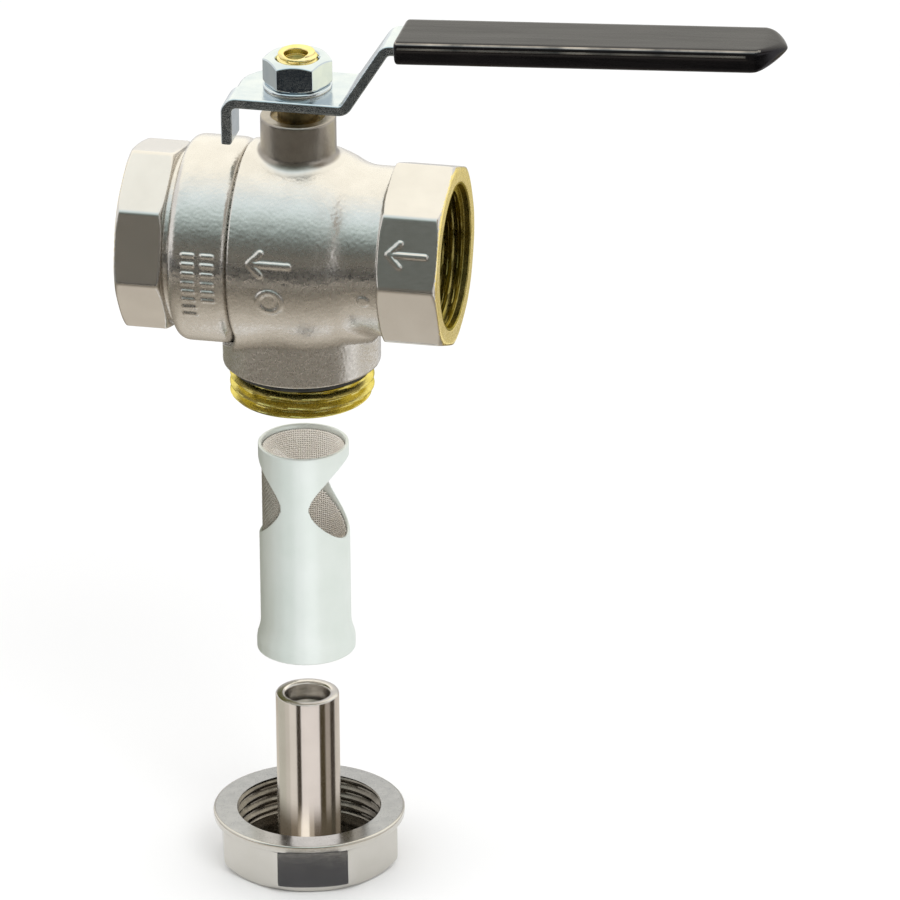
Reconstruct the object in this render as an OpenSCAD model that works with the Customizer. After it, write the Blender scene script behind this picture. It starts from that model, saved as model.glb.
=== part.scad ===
// Ball valve with a strainer and a magnet inside the ball, drawn apart as it is serviced.
// Frame: origin at the ball's centre, +X out of the inlet, +Z up the stem, -Y to the viewer.

/* [Pipe threads] */
// Outside diameter of the pipe thread
thread_major_d = 33.25; // [33:0.05:33.5]
// Inside diameter of the pipe thread
thread_minor_d = 30.29; // [30:0.05:30.5]
// Pitch of the pipe thread
thread_pitch = 2.31; // [2.2:0.01:2.4]
// Depth of the inlet socket, mouth to web
inlet_socket_l = 15.9; // [15:0.1:18]
// Depth of the outlet socket, mouth to web
outlet_socket_l = 18.5; // [17:0.1:20]
// Diameter of the countersunk mouth of each socket
mouth_d = 33.6; // [33:0.1:35]
// Depth of the countersink
mouth_l = 1.6; // [1:0.1:2]

/* [Valve body] */
// Width across the flats of both octagons
octagon_af = 41; // [40:0.5:44]
// Length of the inlet octagon
inlet_octagon_l = 14.2; // [13:0.1:15]
// Length of the outlet octagon
outlet_octagon_l = 11.1; // [10:0.1:12]
// Turn of the outlet octagon from corner up, in degrees
outlet_octagon_turn = 10; // [0:1:22]
// Bevel on the ends of each octagon
octagon_bevel = 1; // [0.5:0.1:1.5]
// Wall between the ball's chamber and the outside of the barrel
barrel_wall = 3.5; // [3.2:0.1:5]
// Distance from the ball's centre to the seam between body and end piece
seam_x = 12; // [12:0.1:12.6]
// Bevel on each side of the seam
seam_bevel = 0.4; // [0.2:0.1:0.6]
// Where the barrel starts to narrow towards the inlet
taper_start_x = 2; // [1:0.1:3]
// Where the barrel's shoulder turns down
shoulder_x = 9.5; // [9:0.1:10]
// How much the barrel has narrowed at its shoulder
shoulder_drop = 1.7; // [1.2:0.1:2]
// Where the shoulder meets the collar beside the inlet octagon
shoulder_end_x = 16; // [15.5:0.1:17]
// Wall of the collar outside the inlet thread
collar_wall = 2.9; // [2.6:0.1:3.4]
// Width of the groove beside the outlet octagon
end_groove_w = 1.6; // [1.2:0.1:2]
// Radius of the end piece's rounded shoulder
end_shoulder_r = 2; // [1.5:0.1:3]
// Wall of the spigot that the end piece screws over
spigot_wall = 1.4; // [1.2:0.1:1.6]
// Length of the spigot past the seam
spigot_l = 5; // [4.6:0.1:5.2]
// Thickness of the seal ring at the spigot's end
body_seal_t = 0.8; // [0.6:0.1:1]
// Thickness of the web behind each seat
web_t = 2; // [1.8:0.1:2.6]

/* [Ball and seats] */
// Diameter of the ball
ball_d = 40; // [39.6:0.1:40.6]
// Diameter of the flow port
port_d = 22; // [21:0.1:22.4]
// Outside diameter of a seat ring
seat_d = 30; // [29:0.1:30.4]
// Thickness of a seat ring behind the ball's edge
seat_back = 1.8; // [1.6:0.1:2.2]

/* [Stem] */
// Diameter of the stem
stem_d = 9.4; // [9:0.1:9.6]
// Width across the flats where the lever sits
stem_flats = 7; // [6.6:0.1:7.4]
// Diameter of the stem's retaining flange
stem_flange_d = 12.8; // [12.4:0.1:13.2]
// Thickness of the retaining flange
stem_flange_t = 1.6; // [1.4:0.1:1.8]
// Thickness of the thrust washer
thrust_washer_t = 0.8; // [0.6:0.1:1]
// Width of the tang that turns the ball
tang_w = 5; // [4.5:0.1:5.5]
// Length of the tang across the ball
tang_l = 11.5; // [11:0.1:12]
// Depth of the tang in the ball
tang_depth = 3.8; // [3.4:0.1:4]
// Section diameter of the stem seal
stem_seal_d = 1.5; // [1.3:0.1:1.6]
// Height of the packing ring
packing_h = 2.8; // [2.4:0.1:3]
// Height of the gland ring
gland_h = 2.4; // [2.2:0.1:2.6]
// Diameter of the recess in the stem's top
stem_recess_d = 6; // [5:0.1:6.4]
// Depth of the recess in the stem's top
stem_recess_l = 1.6; // [1:0.1:2]

/* [Boss and stop] */
// Diameter of the stem boss
boss_d = 17.4; // [17:0.1:18]
// Height of the boss above the barrel
boss_rise = 8.3; // [8:0.1:9]
// Diameter of the packing chamber
chamber_d = 12.6; // [12.4:0.1:13]
// Depth of the packing chamber
chamber_l = 5.9; // [5.8:0.1:6.1]
// Width of the stop rib behind the boss
stop_w = 3; // [2.5:0.1:3.4]
// Reach of the stop rib from the stem's axis
stop_reach = 16.3; // [16:0.1:17]
// How far the stop rib stands up beside the tabs
stop_catch = 1.7; // [1.2:0.1:2.4]

/* [Lever] */
// Thickness of the lever's strip
lever_t = 2.5; // [2.3:0.1:2.8]
// Width of the lever's plate
plate_w = 20.2; // [19:0.1:21]
// Distance from the stem to the plate's left edge
plate_left = 13.3; // [13:0.1:14]
// Distance from the stem to the bend of the arm
bend_x = 12.8; // [12:0.1:13.5]
// Clear height from the boss to the plate
plate_gap = 4.3; // [4:0.1:5]
// Rise of the arm from plate to grip
arm_rise = 14.1; // [13.5:0.1:17]
// Slope of the arm, in degrees
arm_angle = 57.5; // [55:0.5:64]
// Width of the strip inside the grip
tongue_w = 13; // [12:0.1:13.4]
// Slope of the grip, in degrees
grip_tilt = 3.1; // [0:0.1:6]
// Inner radius of the bends
bend_r = 1.2; // [0.8:0.1:1.6]
// Width of the stop tab at the plate's left end
tab_w = 8.5; // [8:0.1:9]
// Length of the stop tabs below the plate
tab_drop = 8.9; // [8:0.1:9.4]
// Width of the narrow tab behind the boss
back_tab_w = 3; // [2.5:0.1:3.2]
// Radius of the plate's rounded back corner
plate_corner_r = 9; // [8:0.1:10]

/* [Grip] */
// Length of the grip
grip_l = 91; // [85:1:100]
// Width of the grip
grip_w = 15.8; // [15:0.1:17]
// Thickness of the grip
grip_t = 5.2; // [4.8:0.1:5.6]
// Distance from the arm's upper bend to the grip
grip_start = 1; // [1:0.1:2]
// Length of solid grip past the strip's end
grip_nose = 7; // [6:0.1:9]
// Radius of the grip's long edges
grip_edge_r = 1.2; // [0.8:0.1:2]
// Length of the grip's pointed end
grip_point_l = 5.2; // [4:0.1:7]
// Width of the blunt tip of the grip
grip_tip_w = 3; // [2:0.1:6]

/* [Lever nut] */
// Width across the nut's flats
nut_af = 14; // [13:0.1:15]
// Height of the nut
nut_h = 6.5; // [6:0.1:8]
// Turn of the nut, in degrees
nut_turn = 7; // [0:1:30]
// Diameter of the washer
washer_d = 15.8; // [15:0.1:17]
// Thickness of the washer
washer_t = 1; // [0.8:0.1:1.2]
// How far the stem stands above the nut
stem_proud = 1.4; // [0.6:0.1:2]

/* [Service neck] */
// Diameter of the neck
neck_d = 36.4; // [36:0.1:37]
// Length of the neck below the barrel
neck_drop = 4.2; // [4:0.1:5]
// Length of the threaded part
neck_thread_l = 8.5; // [8.4:0.1:9]
// Length of the undercut above the thread
undercut_l = 2; // [1.8:0.1:2.1]
// Chamfer at the neck's end
neck_chamfer = 1; // [0.6:0.1:1.4]
// Section diameter of the cap's O-ring
cap_seal_d = 1.4; // [1.2:0.1:1.5]

/* [Filter] */
// Outside diameter of the filter
filter_d = 21; // [20.4:0.1:21.1]
// Wall of the filter's frame
filter_wall = 0.8; // [0.7:0.1:0.9]
// Wall of the mesh tube
mesh_wall = 0.3; // [0.2:0.05:0.4]
// Distance from the frame's upper rim to the mesh
mesh_inset = 1; // [0.6:0.1:1.6]
// Diameter of the two side windows
window_d = 19.5; // [18:0.1:19.8]
// Height of the filter above the windows' centre
filter_above = 13; // [12.6:0.1:13.4]
// Room in the ball above the filter
filter_head_room = 0.8; // [0.6:0.1:1]
// Diameter of the filter's foot
filter_foot_d = 22.9; // [22.4:0.1:23.4]
// Height of the flare above the foot
filter_flare_l = 5.5; // [5:0.1:6]
// Height of the foot's straight lip
filter_lip_l = 1.5; // [1.2:0.1:2]

/* [Cap] */
// Diameter of the cap's flange
cap_flange_d = 44.7; // [44.2:0.1:46]
// Thickness of the flange
cap_flange_t = 2; // [1.8:0.1:2.4]
// Width across the flats of the cap's octagon
cap_af = 40.5; // [40:0.1:41]
// Turn of the cap's octagon, in degrees
cap_turn = -7.5; // [-22:0.5:22]
// Room between the neck's end and the cap's floor
cap_room = 2.2; // [2:0.1:3]
// Thickness of the cap's floor
cap_floor_t = 2.2; // [2:0.1:3]
// Bevel under the cap's octagon
cap_bevel = 2; // [1.8:0.1:2.6]

/* [Magnet] */
// Outside diameter of the magnet's sleeve
sleeve_d = 14.8; // [14.4:0.1:15.2]
// Inside diameter of the sleeve
sleeve_bore_d = 10.4; // [10.2:0.1:10.8]
// Length of the sleeve
sleeve_l = 40; // [39:0.1:41]
// Diameter of the sleeve's foot
sleeve_foot_d = 16.4; // [16:0.1:17]
// Thickness of the sleeve's foot and floor
sleeve_foot_t = 1.5; // [1.3:0.1:2]
// Bevel at the sleeve's upper rim
sleeve_bevel = 0.4; // [0.2:0.1:0.6]
// Number of ring magnets in the stack
magnet_count = 4; // [3:1:4]
// Length of one ring magnet
magnet_l = 8; // [7:0.1:8]
// Diameter of the magnets' screw
screw_d = 4.2; // [4:0.1:4.4]
// Diameter of the screw's head
screw_head_d = 7.8; // [7:0.1:8.4]
// Height of the screw's head
screw_head_h = 2.4; // [2:0.1:2.8]

/* [Service position] */
// How far the cap is drawn down from the body
cap_travel = 114.5; // [108:0.5:130]
// How far the filter is drawn down from the ball
filter_travel = 62.5; // [60:0.5:64]

/* [Clearances] */
// Running clearance, on the radius
run_gap = 0.05; // [0.03:0.01:0.08]
// Gap around the ball in its chamber
ball_gap = 0.6; // [0.5:0.1:0.8]
// Gap between the filter and the ball's bore
filter_gap = 0.35; // [0.3:0.05:0.4]
// Gap between the filter's foot and the neck's bore
foot_gap = 0.55; // [0.5:0.05:0.7]
// Gap between faces that stop against each other
face_gap = 0.1; // [0.06:0.01:0.15]

/* [Hidden] */
$fn = 96;

major_r = thread_major_d / 2;
minor_r = thread_minor_d / 2;
thread_depth = major_r - minor_r;
groove_w = 0.8 * thread_pitch;
// How far cuts run past a face, and joined parts into each other
over = 1;

// Ball, seats and chamber
ball_r = ball_d / 2;
port_r = port_d / 2;
seat_r = seat_d / 2;
chamber_r = ball_r + ball_gap;
seat_front_x = sqrt(ball_r * ball_r - seat_r * seat_r);
seat_back_x = sqrt(ball_r * ball_r - port_r * port_r) + seat_back;
web_x = seat_back_x + web_t;
inlet_x = web_x + inlet_socket_l;
outlet_x = web_x + outlet_socket_l;

// Outside of the body
barrel_r = chamber_r + barrel_wall;
collar_r = major_r + collar_wall;
spigot_r = chamber_r + spigot_wall;
spigot_x = seam_x + spigot_l;
inlet_octagon_x = inlet_x - inlet_octagon_l;
outlet_octagon_x = outlet_x - outlet_octagon_l;
end_barrel_x = outlet_octagon_x - end_groove_w;
octagon_r = octagon_af / 2 / cos(22.5);

// Stem column, from the ball upwards
stem_r = stem_d / 2;
flange_z = ball_r + 2 * face_gap;
washer_z = flange_z + stem_flange_t;
pocket_z = washer_z + thrust_washer_t;
boss_r = boss_d / 2;
boss_z = barrel_r + boss_rise;
chamber_z = boss_z - chamber_l;
packing_z = chamber_z + packing_h;
seal_z = (pocket_z + chamber_z) / 2;
plate_z = boss_z + plate_gap;
plate_top_z = plate_z + lever_t;
nut_z = plate_top_z + washer_t;
stem_top_z = nut_z + nut_h + stem_proud;

// Lever
plate_mid_z = plate_z + lever_t / 2;
tab_x = -plate_left - lever_t / 2;
tab_y = -plate_w / 2;
tab_end_z = plate_z - tab_drop;
back_tab_x = stop_w / 2 + face_gap;
back_tab_y = plate_w / 2;
stop_top_z = tab_end_z + stop_catch;
arm_top = [bend_x + arm_rise / tan(arm_angle), plate_mid_z + arm_rise];
tongue_l = grip_start + grip_l - grip_nose;
tongue_end = arm_top + tongue_l * [cos(grip_tilt), sin(grip_tilt)];

// Neck and cap, in their closed place
neck_z = -(barrel_r + neck_drop);
neck_end_z = neck_z - neck_thread_l;
neck_bore_r = filter_foot_d / 2 + foot_gap;
undercut_r = minor_r;
neck_grooves = floor((neck_thread_l - undercut_l) / thread_pitch);
cap_top_z = neck_z - face_gap;
cap_floor_z = neck_end_z - cap_room;
cap_bottom_z = cap_floor_z - cap_floor_t;
cap_bore_r = major_r + run_gap;
cap_depth = cap_top_z - cap_floor_z;
cap_grooves = floor(cap_depth / thread_pitch) - 1;

// Filter and magnet, in their closed place
filter_r = filter_d / 2;
filter_bottom_z = cap_floor_z + face_gap;
filter_bore_r = filter_r - filter_wall;
mesh_r = filter_bore_r - run_gap;
magnet_z = cap_floor_z + sleeve_foot_t + run_gap;
magnet_pitch = magnet_l + run_gap;
screw_head_z = magnet_z + magnet_count * magnet_pitch;
screw_tip_z = cap_floor_z - 0.7 * cap_floor_t;

nickel = [0.74, 0.73, 0.70];
zinc = [0.70, 0.73, 0.76];
raw_brass = [0.80, 0.62, 0.32];
steel = [0.66, 0.66, 0.67];
pale = [0.80, 0.81, 0.77];
ptfe = [0.93, 0.93, 0.90];
black_rubber = [0.07, 0.07, 0.08];
black_vinyl = [0.10, 0.10, 0.11];

module along_x() rotate([0, 90, 0]) children();

module rod_x(r, x0, x1) translate([x0, 0, 0]) along_x() cylinder(r = r, h = x1 - x0);

module rod_z(r, z0, z1) translate([0, 0, z0]) cylinder(r = r, h = z1 - z0);

module ring_z(r_in, r_out, z0, z1) {
    difference() {
        rod_z(r_out, z0, z1);
        rod_z(r_in, z0 - over, z1 + over);
    }
}

module torus(r, section_r) rotate_extrude() translate([r, 0]) circle(r = section_r, $fn = 32);

// Octagon along X between two places, with bevelled ends and a corner up before the turn
module octagon_x(x0, x1, turn) {
    bevel_r = octagon_af / 2;
    intersection() {
        translate([x0, 0, 0]) rotate([turn, 0, 0]) along_x() cylinder(r = octagon_r, h = x1 - x0, $fn = 8);
        along_x() rotate_extrude() polygon([
            [0, x0], [bevel_r, x0], [bevel_r + 2 * octagon_bevel, x0 + octagon_bevel],
            [bevel_r + 2 * octagon_bevel, x1 - octagon_bevel], [bevel_r, x1], [0, x1]
        ]);
    }
}

// Rings of a thread: count V grooves from z0 downwards, cut from r by a signed depth
module thread_grooves(r, depth, z0, count) {
    start = depth > 0 ? -0.2 : 0.2;
    for (i = [0 : count - 1])
        translate([0, 0, z0 - (i + 0.5) * thread_pitch])
            rotate_extrude() polygon([
                [r + start, -groove_w / 2], [r, -groove_w / 2], [r + depth, -0.1],
                [r + depth, 0.1], [r, groove_w / 2], [r + start, groove_w / 2]
            ]);
}

// Pipe socket along +X: the drilled wall at the thread's inside diameter, and its mouth
module socket_cut(face_x) {
    rod_x(minor_r, web_x, face_x + over);
    along_x() rotate_extrude() polygon([
        [0, face_x - mouth_l], [minor_r, face_x - mouth_l], [mouth_d / 2, face_x],
        [mouth_d / 2, face_x + over], [0, face_x + over]
    ]);
}

// Outside of the body as radius against place along X, from the spigot to the inlet octagon
shoulder_r = barrel_r - shoulder_drop;
shoulder_steps = 8;
body_outline = concat(
    [[0, -spigot_x], [spigot_r, -spigot_x], [spigot_r, -seam_x]],
    [[barrel_r - seam_bevel, -seam_x], [barrel_r, -seam_x + seam_bevel], [barrel_r, taper_start_x]],
    [for (i = [1 : 5])
        let(t = i / 5)
        [barrel_r - shoulder_drop * t * t, taper_start_x + (shoulder_x - taper_start_x) * t]],
    [for (i = [1 : shoulder_steps])
        let(t = i / shoulder_steps)
        [shoulder_r + (collar_r - shoulder_r) * (1 - cos(180 * t)) / 2,
         shoulder_x + (shoulder_end_x - shoulder_x) * t]],
    [[collar_r, inlet_octagon_x + over], [0, inlet_octagon_x + over]]
);

module body_inside() {
    rod_x(chamber_r, -spigot_x - over, 0);
    sphere(r = chamber_r);
    rod_x(seat_r + run_gap, 0, seat_back_x);
    rod_x(port_r, 0, web_x + over);
    socket_cut(inlet_x);
    rod_z(neck_bore_r, neck_end_z - over, 0);
    rod_z(stem_flange_d / 2 + run_gap, 0, pocket_z);
    rod_z(stem_r + run_gap, 0, boss_z + over);
    rod_z(chamber_d / 2, chamber_z, boss_z + over);
}

module neck() {
    difference() {
        union() {
            rod_z(neck_d / 2, neck_z, 0);
            rod_z(major_r, neck_end_z, neck_z);
        }
        rod_x(barrel_r + 2 * face_gap, -outlet_x, -seam_x);
        ring_z(undercut_r, major_r + over, neck_z - undercut_l, neck_z);
        thread_grooves(major_r, -thread_depth, neck_z - undercut_l, neck_grooves);
        translate([0, 0, neck_end_z]) rotate_extrude() polygon([
            [major_r - neck_chamfer, -over], [major_r + over, -over], [major_r + over, neck_chamfer],
            [major_r, neck_chamfer], [major_r - neck_chamfer, 0]
        ]);
    }
}

module body() {
    color(nickel) difference() {
        union() {
            along_x() rotate_extrude() polygon(body_outline);
            octagon_x(inlet_octagon_x, inlet_x, 0);
            rod_z(boss_r, 0, boss_z);
            neck();
            translate([-stop_w / 2, 0, 0]) cube([stop_w, stop_reach, stop_top_z]);
        }
        body_inside();
    }
}

// Outside of the end piece as radius against place, measured from the ball towards the outlet
end_outline = concat(
    [[0, seam_x], [barrel_r - seam_bevel, seam_x], [barrel_r, seam_x + seam_bevel]],
    [for (a = [0 : 15 : 90])
        [barrel_r - end_shoulder_r + end_shoulder_r * cos(a),
         end_barrel_x - end_shoulder_r + end_shoulder_r * sin(a)]],
    [[collar_r, end_barrel_x], [collar_r, outlet_octagon_x + over], [0, outlet_octagon_x + over]]
);

module end_connector() {
    hub_x = seat_front_x + 3 * run_gap;
    hub_r = seat_r + run_gap + spigot_wall;
    color(nickel) mirror([1, 0, 0]) difference() {
        union() {
            difference() {
                along_x() rotate_extrude() polygon(end_outline);
                rod_x(spigot_r + run_gap, seam_x - over, spigot_x + body_seal_t + run_gap);
            }
            rod_x(hub_r, hub_x, web_x);
            octagon_x(outlet_octagon_x, outlet_x, outlet_octagon_turn);
        }
        sphere(r = chamber_r);
        rod_x(seat_r + run_gap, 0, seat_back_x);
        rod_x(port_r, 0, web_x + over);
        socket_cut(outlet_x);
    }
}

module body_seal() {
    color(ptfe) translate([-spigot_x - body_seal_t, 0, 0]) along_x() difference() {
        cylinder(r = spigot_r, h = body_seal_t);
        translate([0, 0, -over]) cylinder(r = chamber_r, h = body_seal_t + 2 * over);
    }
}

module seat() {
    difference() {
        rod_x(seat_r, seat_front_x, seat_back_x);
        rod_x(port_r, seat_front_x - over, seat_back_x + over);
        sphere(r = ball_r + run_gap);
    }
}

module seat_inlet() color(ptfe) seat();

module seat_outlet() color(ptfe) mirror([1, 0, 0]) seat();

module ball() {
    color(steel) difference() {
        sphere(r = ball_r);
        rod_x(port_r, -ball_r - over, ball_r + over);
        rod_z(filter_r + filter_gap, -ball_r - over, filter_above + filter_head_room);
        translate([-tang_l / 2 - run_gap, -tang_w / 2 - run_gap, ball_r - tang_depth - run_gap])
            cube([tang_l + 2 * run_gap, tang_w + 2 * run_gap, tang_depth + over]);
    }
}

module stem() {
    color(raw_brass) difference() {
        union() {
            intersection() {
                translate([-tang_l / 2, -tang_w / 2, ball_r - tang_depth])
                    cube([tang_l, tang_w, tang_depth + face_gap + stem_flange_t]);
                rod_z(stem_flange_d / 2, 0, washer_z);
            }
            rod_z(stem_flange_d / 2, flange_z, washer_z);
            rod_z(stem_r, flange_z, stem_top_z);
        }
        ring_z(stem_r - stem_seal_d, stem_r + over, seal_z - stem_seal_d / 2, seal_z + stem_seal_d / 2);
        for (side = [-1, 1])
            translate([-stem_d, side > 0 ? stem_flats / 2 : -stem_flats / 2 - stem_d, plate_z])
                cube([2 * stem_d, stem_d, lever_t + washer_t]);
        rod_z(stem_recess_d / 2, stem_top_z - stem_recess_l, stem_top_z + over);
    }
}

module thrust_washer() {
    color(ptfe) ring_z(stem_r + run_gap, stem_flange_d / 2, washer_z, pocket_z);
}

module stem_seal() {
    color(black_rubber) translate([0, 0, seal_z]) torus(stem_r - stem_seal_d / 2, stem_seal_d / 2);
}

module packing_ring() {
    color(ptfe) ring_z(stem_r + run_gap, chamber_d / 2, chamber_z, packing_z);
}

module gland_ring() {
    slot_w = 1.6;
    slot_l = 1;
    color(raw_brass) difference() {
        ring_z(stem_r + run_gap, chamber_d / 2, packing_z, packing_z + gland_h);
        translate([-slot_w / 2, -chamber_d, packing_z + gland_h - slot_l])
            cube([slot_w, 2 * chamber_d, slot_l + over]);
    }
}

module stem_hole(z0, z1) {
    intersection() {
        rod_z(stem_r + run_gap, z0, z1);
        translate([-stem_d, -stem_flats / 2 - run_gap, z0]) cube([2 * stem_d, stem_flats + 2 * run_gap, z1 - z0]);
    }
}

// Points of a rounded corner at b on the way from a to c
function corner(a, b, c, r, steps) =
    let(u = (a - b) / norm(a - b), v = (c - b) / norm(c - b),
        half = acos(u * v) / 2,
        centre = b + (u + v) / norm(u + v) * r / sin(half),
        p = b + u * r / tan(half) - centre,
        q = b + v * r / tan(half) - centre,
        turn = atan2(p.x * q.y - p.y * q.x, p * q))
    [for (i = [0 : steps]) let(w = turn * i / steps)
        centre + [p.x * cos(w) - p.y * sin(w), p.x * sin(w) + p.y * cos(w)]];

// Unit normal of a path at point i
function path_normal(path, i) =
    let(d = path[min(i + 1, len(path) - 1)] - path[max(i - 1, 0)])
    [-d.y, d.x] / norm(d);

// Middle line of the lever's strip in X and Z: tab, plate, arm and tongue
tab_start = [tab_x, tab_end_z];
tab_corner = [tab_x, plate_mid_z];
arm_bottom = [bend_x, plate_mid_z];
strip_r = bend_r + lever_t / 2;
strip_line = concat(
    [tab_start],
    corner(tab_start, tab_corner, arm_bottom, strip_r, 6),
    corner(tab_corner, arm_bottom, arm_top, strip_r, 6),
    corner(arm_bottom, arm_top, tongue_end, strip_r, 6),
    [tongue_end]
);

module strip_side() {
    last = len(strip_line) - 1;
    polygon(concat(
        [for (i = [0 : last]) strip_line[i] + path_normal(strip_line, i) * lever_t / 2],
        [for (i = [last : -1 : 0]) strip_line[i] - path_normal(strip_line, i) * lever_t / 2]
    ));
}

module strip_plan() {
    taper_end_x = arm_top.x;
    tongue_x = tongue_end.x + over;
    polygon(concat(
        [[-plate_left, tab_y], [bend_x, tab_y], [taper_end_x, -tongue_w / 2], [tongue_x, -tongue_w / 2]],
        [[tongue_x, tongue_w / 2], [taper_end_x, tongue_w / 2], [bend_x, -tab_y]],
        [for (a = [90 : 10 : 180])
            [-plate_left + plate_corner_r * (1 + cos(a)), -tab_y - plate_corner_r * (1 - sin(a))]]
    ));
    translate([tab_x - lever_t, tab_y]) square([2 * lever_t, tab_w]);
}

module lever() {
    color(zinc) difference() {
        union() {
            intersection() {
                rotate([90, 0, 0]) linear_extrude(plate_w + 2 * over, center = true) strip_side();
                translate([0, 0, tab_end_z - over]) linear_extrude(tongue_end.y + lever_t) strip_plan();
            }
            translate([back_tab_x, back_tab_y - over, plate_z])
                cube([back_tab_w, over + face_gap + lever_t, lever_t]);
            translate([back_tab_x, back_tab_y + face_gap, tab_end_z])
                cube([back_tab_w, lever_t, tab_drop + lever_t]);
        }
        stem_hole(plate_z - over, plate_top_z + over);
    }
}

module lever_grip() {
    color(black_vinyl) translate([arm_top.x, 0, arm_top.y]) rotate([0, -grip_tilt, 0]) difference() {
        intersection() {
            translate([grip_start, 0, -grip_t / 2]) linear_extrude(grip_t) polygon([
                [0, -grip_w / 2], [grip_l - grip_point_l, -grip_w / 2], [grip_l, -grip_tip_w / 2],
                [grip_l, grip_tip_w / 2], [grip_l - grip_point_l, grip_w / 2], [0, grip_w / 2]
            ]);
            translate([grip_start, 0, 0]) along_x() linear_extrude(grip_l) {
                square([grip_t, grip_w - 2 * grip_edge_r], center = true);
                square([grip_t - 2 * grip_edge_r, grip_w], center = true);
                for (side = [-1, 1], face = [-1, 1])
                    translate([face * (grip_t / 2 - grip_edge_r), side * (grip_w / 2 - grip_edge_r)])
                        circle(r = grip_edge_r, $fn = 48);
            }
        }
        translate([0, -tongue_w / 2 - run_gap, -lever_t / 2 - run_gap])
            cube([tongue_l + run_gap, tongue_w + 2 * run_gap, lever_t + 2 * run_gap]);
    }
}

module nut_washer() {
    color(zinc) ring_z(stem_r + run_gap, washer_d / 2, plate_top_z, nut_z);
}

module lever_nut() {
    corner_r = nut_af / 2 / cos(30);
    bevel = corner_r - nut_af / 2;
    color(zinc) difference() {
        intersection() {
            rotate([0, 0, nut_turn]) translate([0, 0, nut_z]) cylinder(r = corner_r, h = nut_h, $fn = 6);
            rotate_extrude() polygon([
                [0, nut_z], [corner_r, nut_z], [corner_r, nut_z + nut_h - bevel / 2],
                [nut_af / 2, nut_z + nut_h], [0, nut_z + nut_h]
            ]);
        }
        rod_z(stem_r + run_gap, nut_z - over, nut_z + nut_h + over);
    }
}

module cap_seal() {
    color(black_rubber) translate([0, 0, neck_z - undercut_l / 2])
        torus(undercut_r + cap_seal_d / 2, cap_seal_d / 2);
}

module filter_drawn() translate([0, 0, -filter_travel]) children();

module cap_drawn() translate([0, 0, -cap_travel]) children();

module filter_frame() {
    foot_r = filter_foot_d / 2;
    lip_z = filter_bottom_z + filter_lip_l;
    flare_z = lip_z + filter_flare_l;
    color(pale) filter_drawn() difference() {
        rotate_extrude() polygon([
            [0, filter_bottom_z], [foot_r, filter_bottom_z], [foot_r, lip_z],
            [filter_r + (foot_r - filter_r) / 3, lip_z + filter_flare_l / 2], [filter_r, flare_z],
            [filter_r, filter_above], [0, filter_above]
        ]);
        rod_z(filter_bore_r, filter_bottom_z - over, filter_above + over);
        rod_x(window_d / 2, -filter_d, filter_d);
    }
}

module filter_mesh() {
    color(steel) filter_drawn() difference() {
        ring_z(mesh_r - mesh_wall, mesh_r, filter_bottom_z + face_gap, filter_above - mesh_inset);
        rod_x(window_d / 2, 0, filter_d);
    }
}

module cap() {
    octagon_z = cap_top_z - cap_flange_t;
    corner_r = cap_af / 2 / cos(22.5);
    color(nickel) cap_drawn() difference() {
        union() {
            rod_z(cap_flange_d / 2, octagon_z, cap_top_z);
            intersection() {
                rotate([0, 0, cap_turn]) translate([0, 0, cap_bottom_z])
                    cylinder(r = corner_r, h = cap_top_z - cap_flange_t / 4 - cap_bottom_z, $fn = 8);
                rotate_extrude() polygon([
                    [0, cap_bottom_z], [corner_r - cap_bevel, cap_bottom_z],
                    [corner_r + over, cap_bottom_z + cap_bevel + over], [corner_r + over, cap_top_z],
                    [0, cap_top_z]
                ]);
            }
        }
        rod_z(cap_bore_r, cap_floor_z, cap_top_z + over);
        thread_grooves(cap_bore_r, 0.7 * thread_depth, cap_top_z - 0.5, cap_grooves);
        rod_z(screw_d / 2 + run_gap, screw_tip_z - run_gap, cap_floor_z + over);
    }
}

module magnet_sleeve() {
    sleeve_r = sleeve_d / 2;
    foot_z = cap_floor_z + sleeve_foot_t;
    color(steel) cap_drawn() difference() {
        rotate_extrude() polygon([
            [0, cap_floor_z], [sleeve_foot_d / 2, cap_floor_z], [sleeve_foot_d / 2, foot_z],
            [sleeve_r, foot_z + sleeve_foot_t], [sleeve_r, cap_floor_z + sleeve_l - sleeve_bevel],
            [sleeve_r - sleeve_bevel, cap_floor_z + sleeve_l], [0, cap_floor_z + sleeve_l]
        ]);
        rod_z(sleeve_bore_d / 2, foot_z, cap_floor_z + sleeve_l + over);
        rod_z(screw_d / 2 + run_gap, cap_floor_z - over, foot_z + over);
    }
}

module ring_magnets() {
    color(steel) cap_drawn() for (i = [0 : magnet_count - 1])
        ring_z(screw_d / 2 + run_gap, sleeve_bore_d / 2 - run_gap,
               magnet_z + i * magnet_pitch, magnet_z + i * magnet_pitch + magnet_l);
}

module magnet_screw() {
    socket_d = 3;
    color(steel) cap_drawn() difference() {
        union() {
            rod_z(screw_d / 2, screw_tip_z, screw_head_z + screw_head_h / 2);
            rod_z(screw_head_d / 2, screw_head_z, screw_head_z + screw_head_h);
        }
        translate([0, 0, screw_head_z + screw_head_h / 2]) cylinder(d = socket_d, h = screw_head_h, $fn = 6);
    }
}

body();
end_connector();
body_seal();
seat_inlet();
seat_outlet();
ball();
stem();
thrust_washer();
stem_seal();
packing_ring();
gland_ring();
lever();
lever_grip();
nut_washer();
lever_nut();
cap_seal();
filter_frame();
filter_mesh();
cap();
magnet_sleeve();
ring_magnets();
magnet_screw();
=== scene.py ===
"""Looks of a ball valve with filter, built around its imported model. Sizes are in mm."""

import math
from functools import reduce

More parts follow.
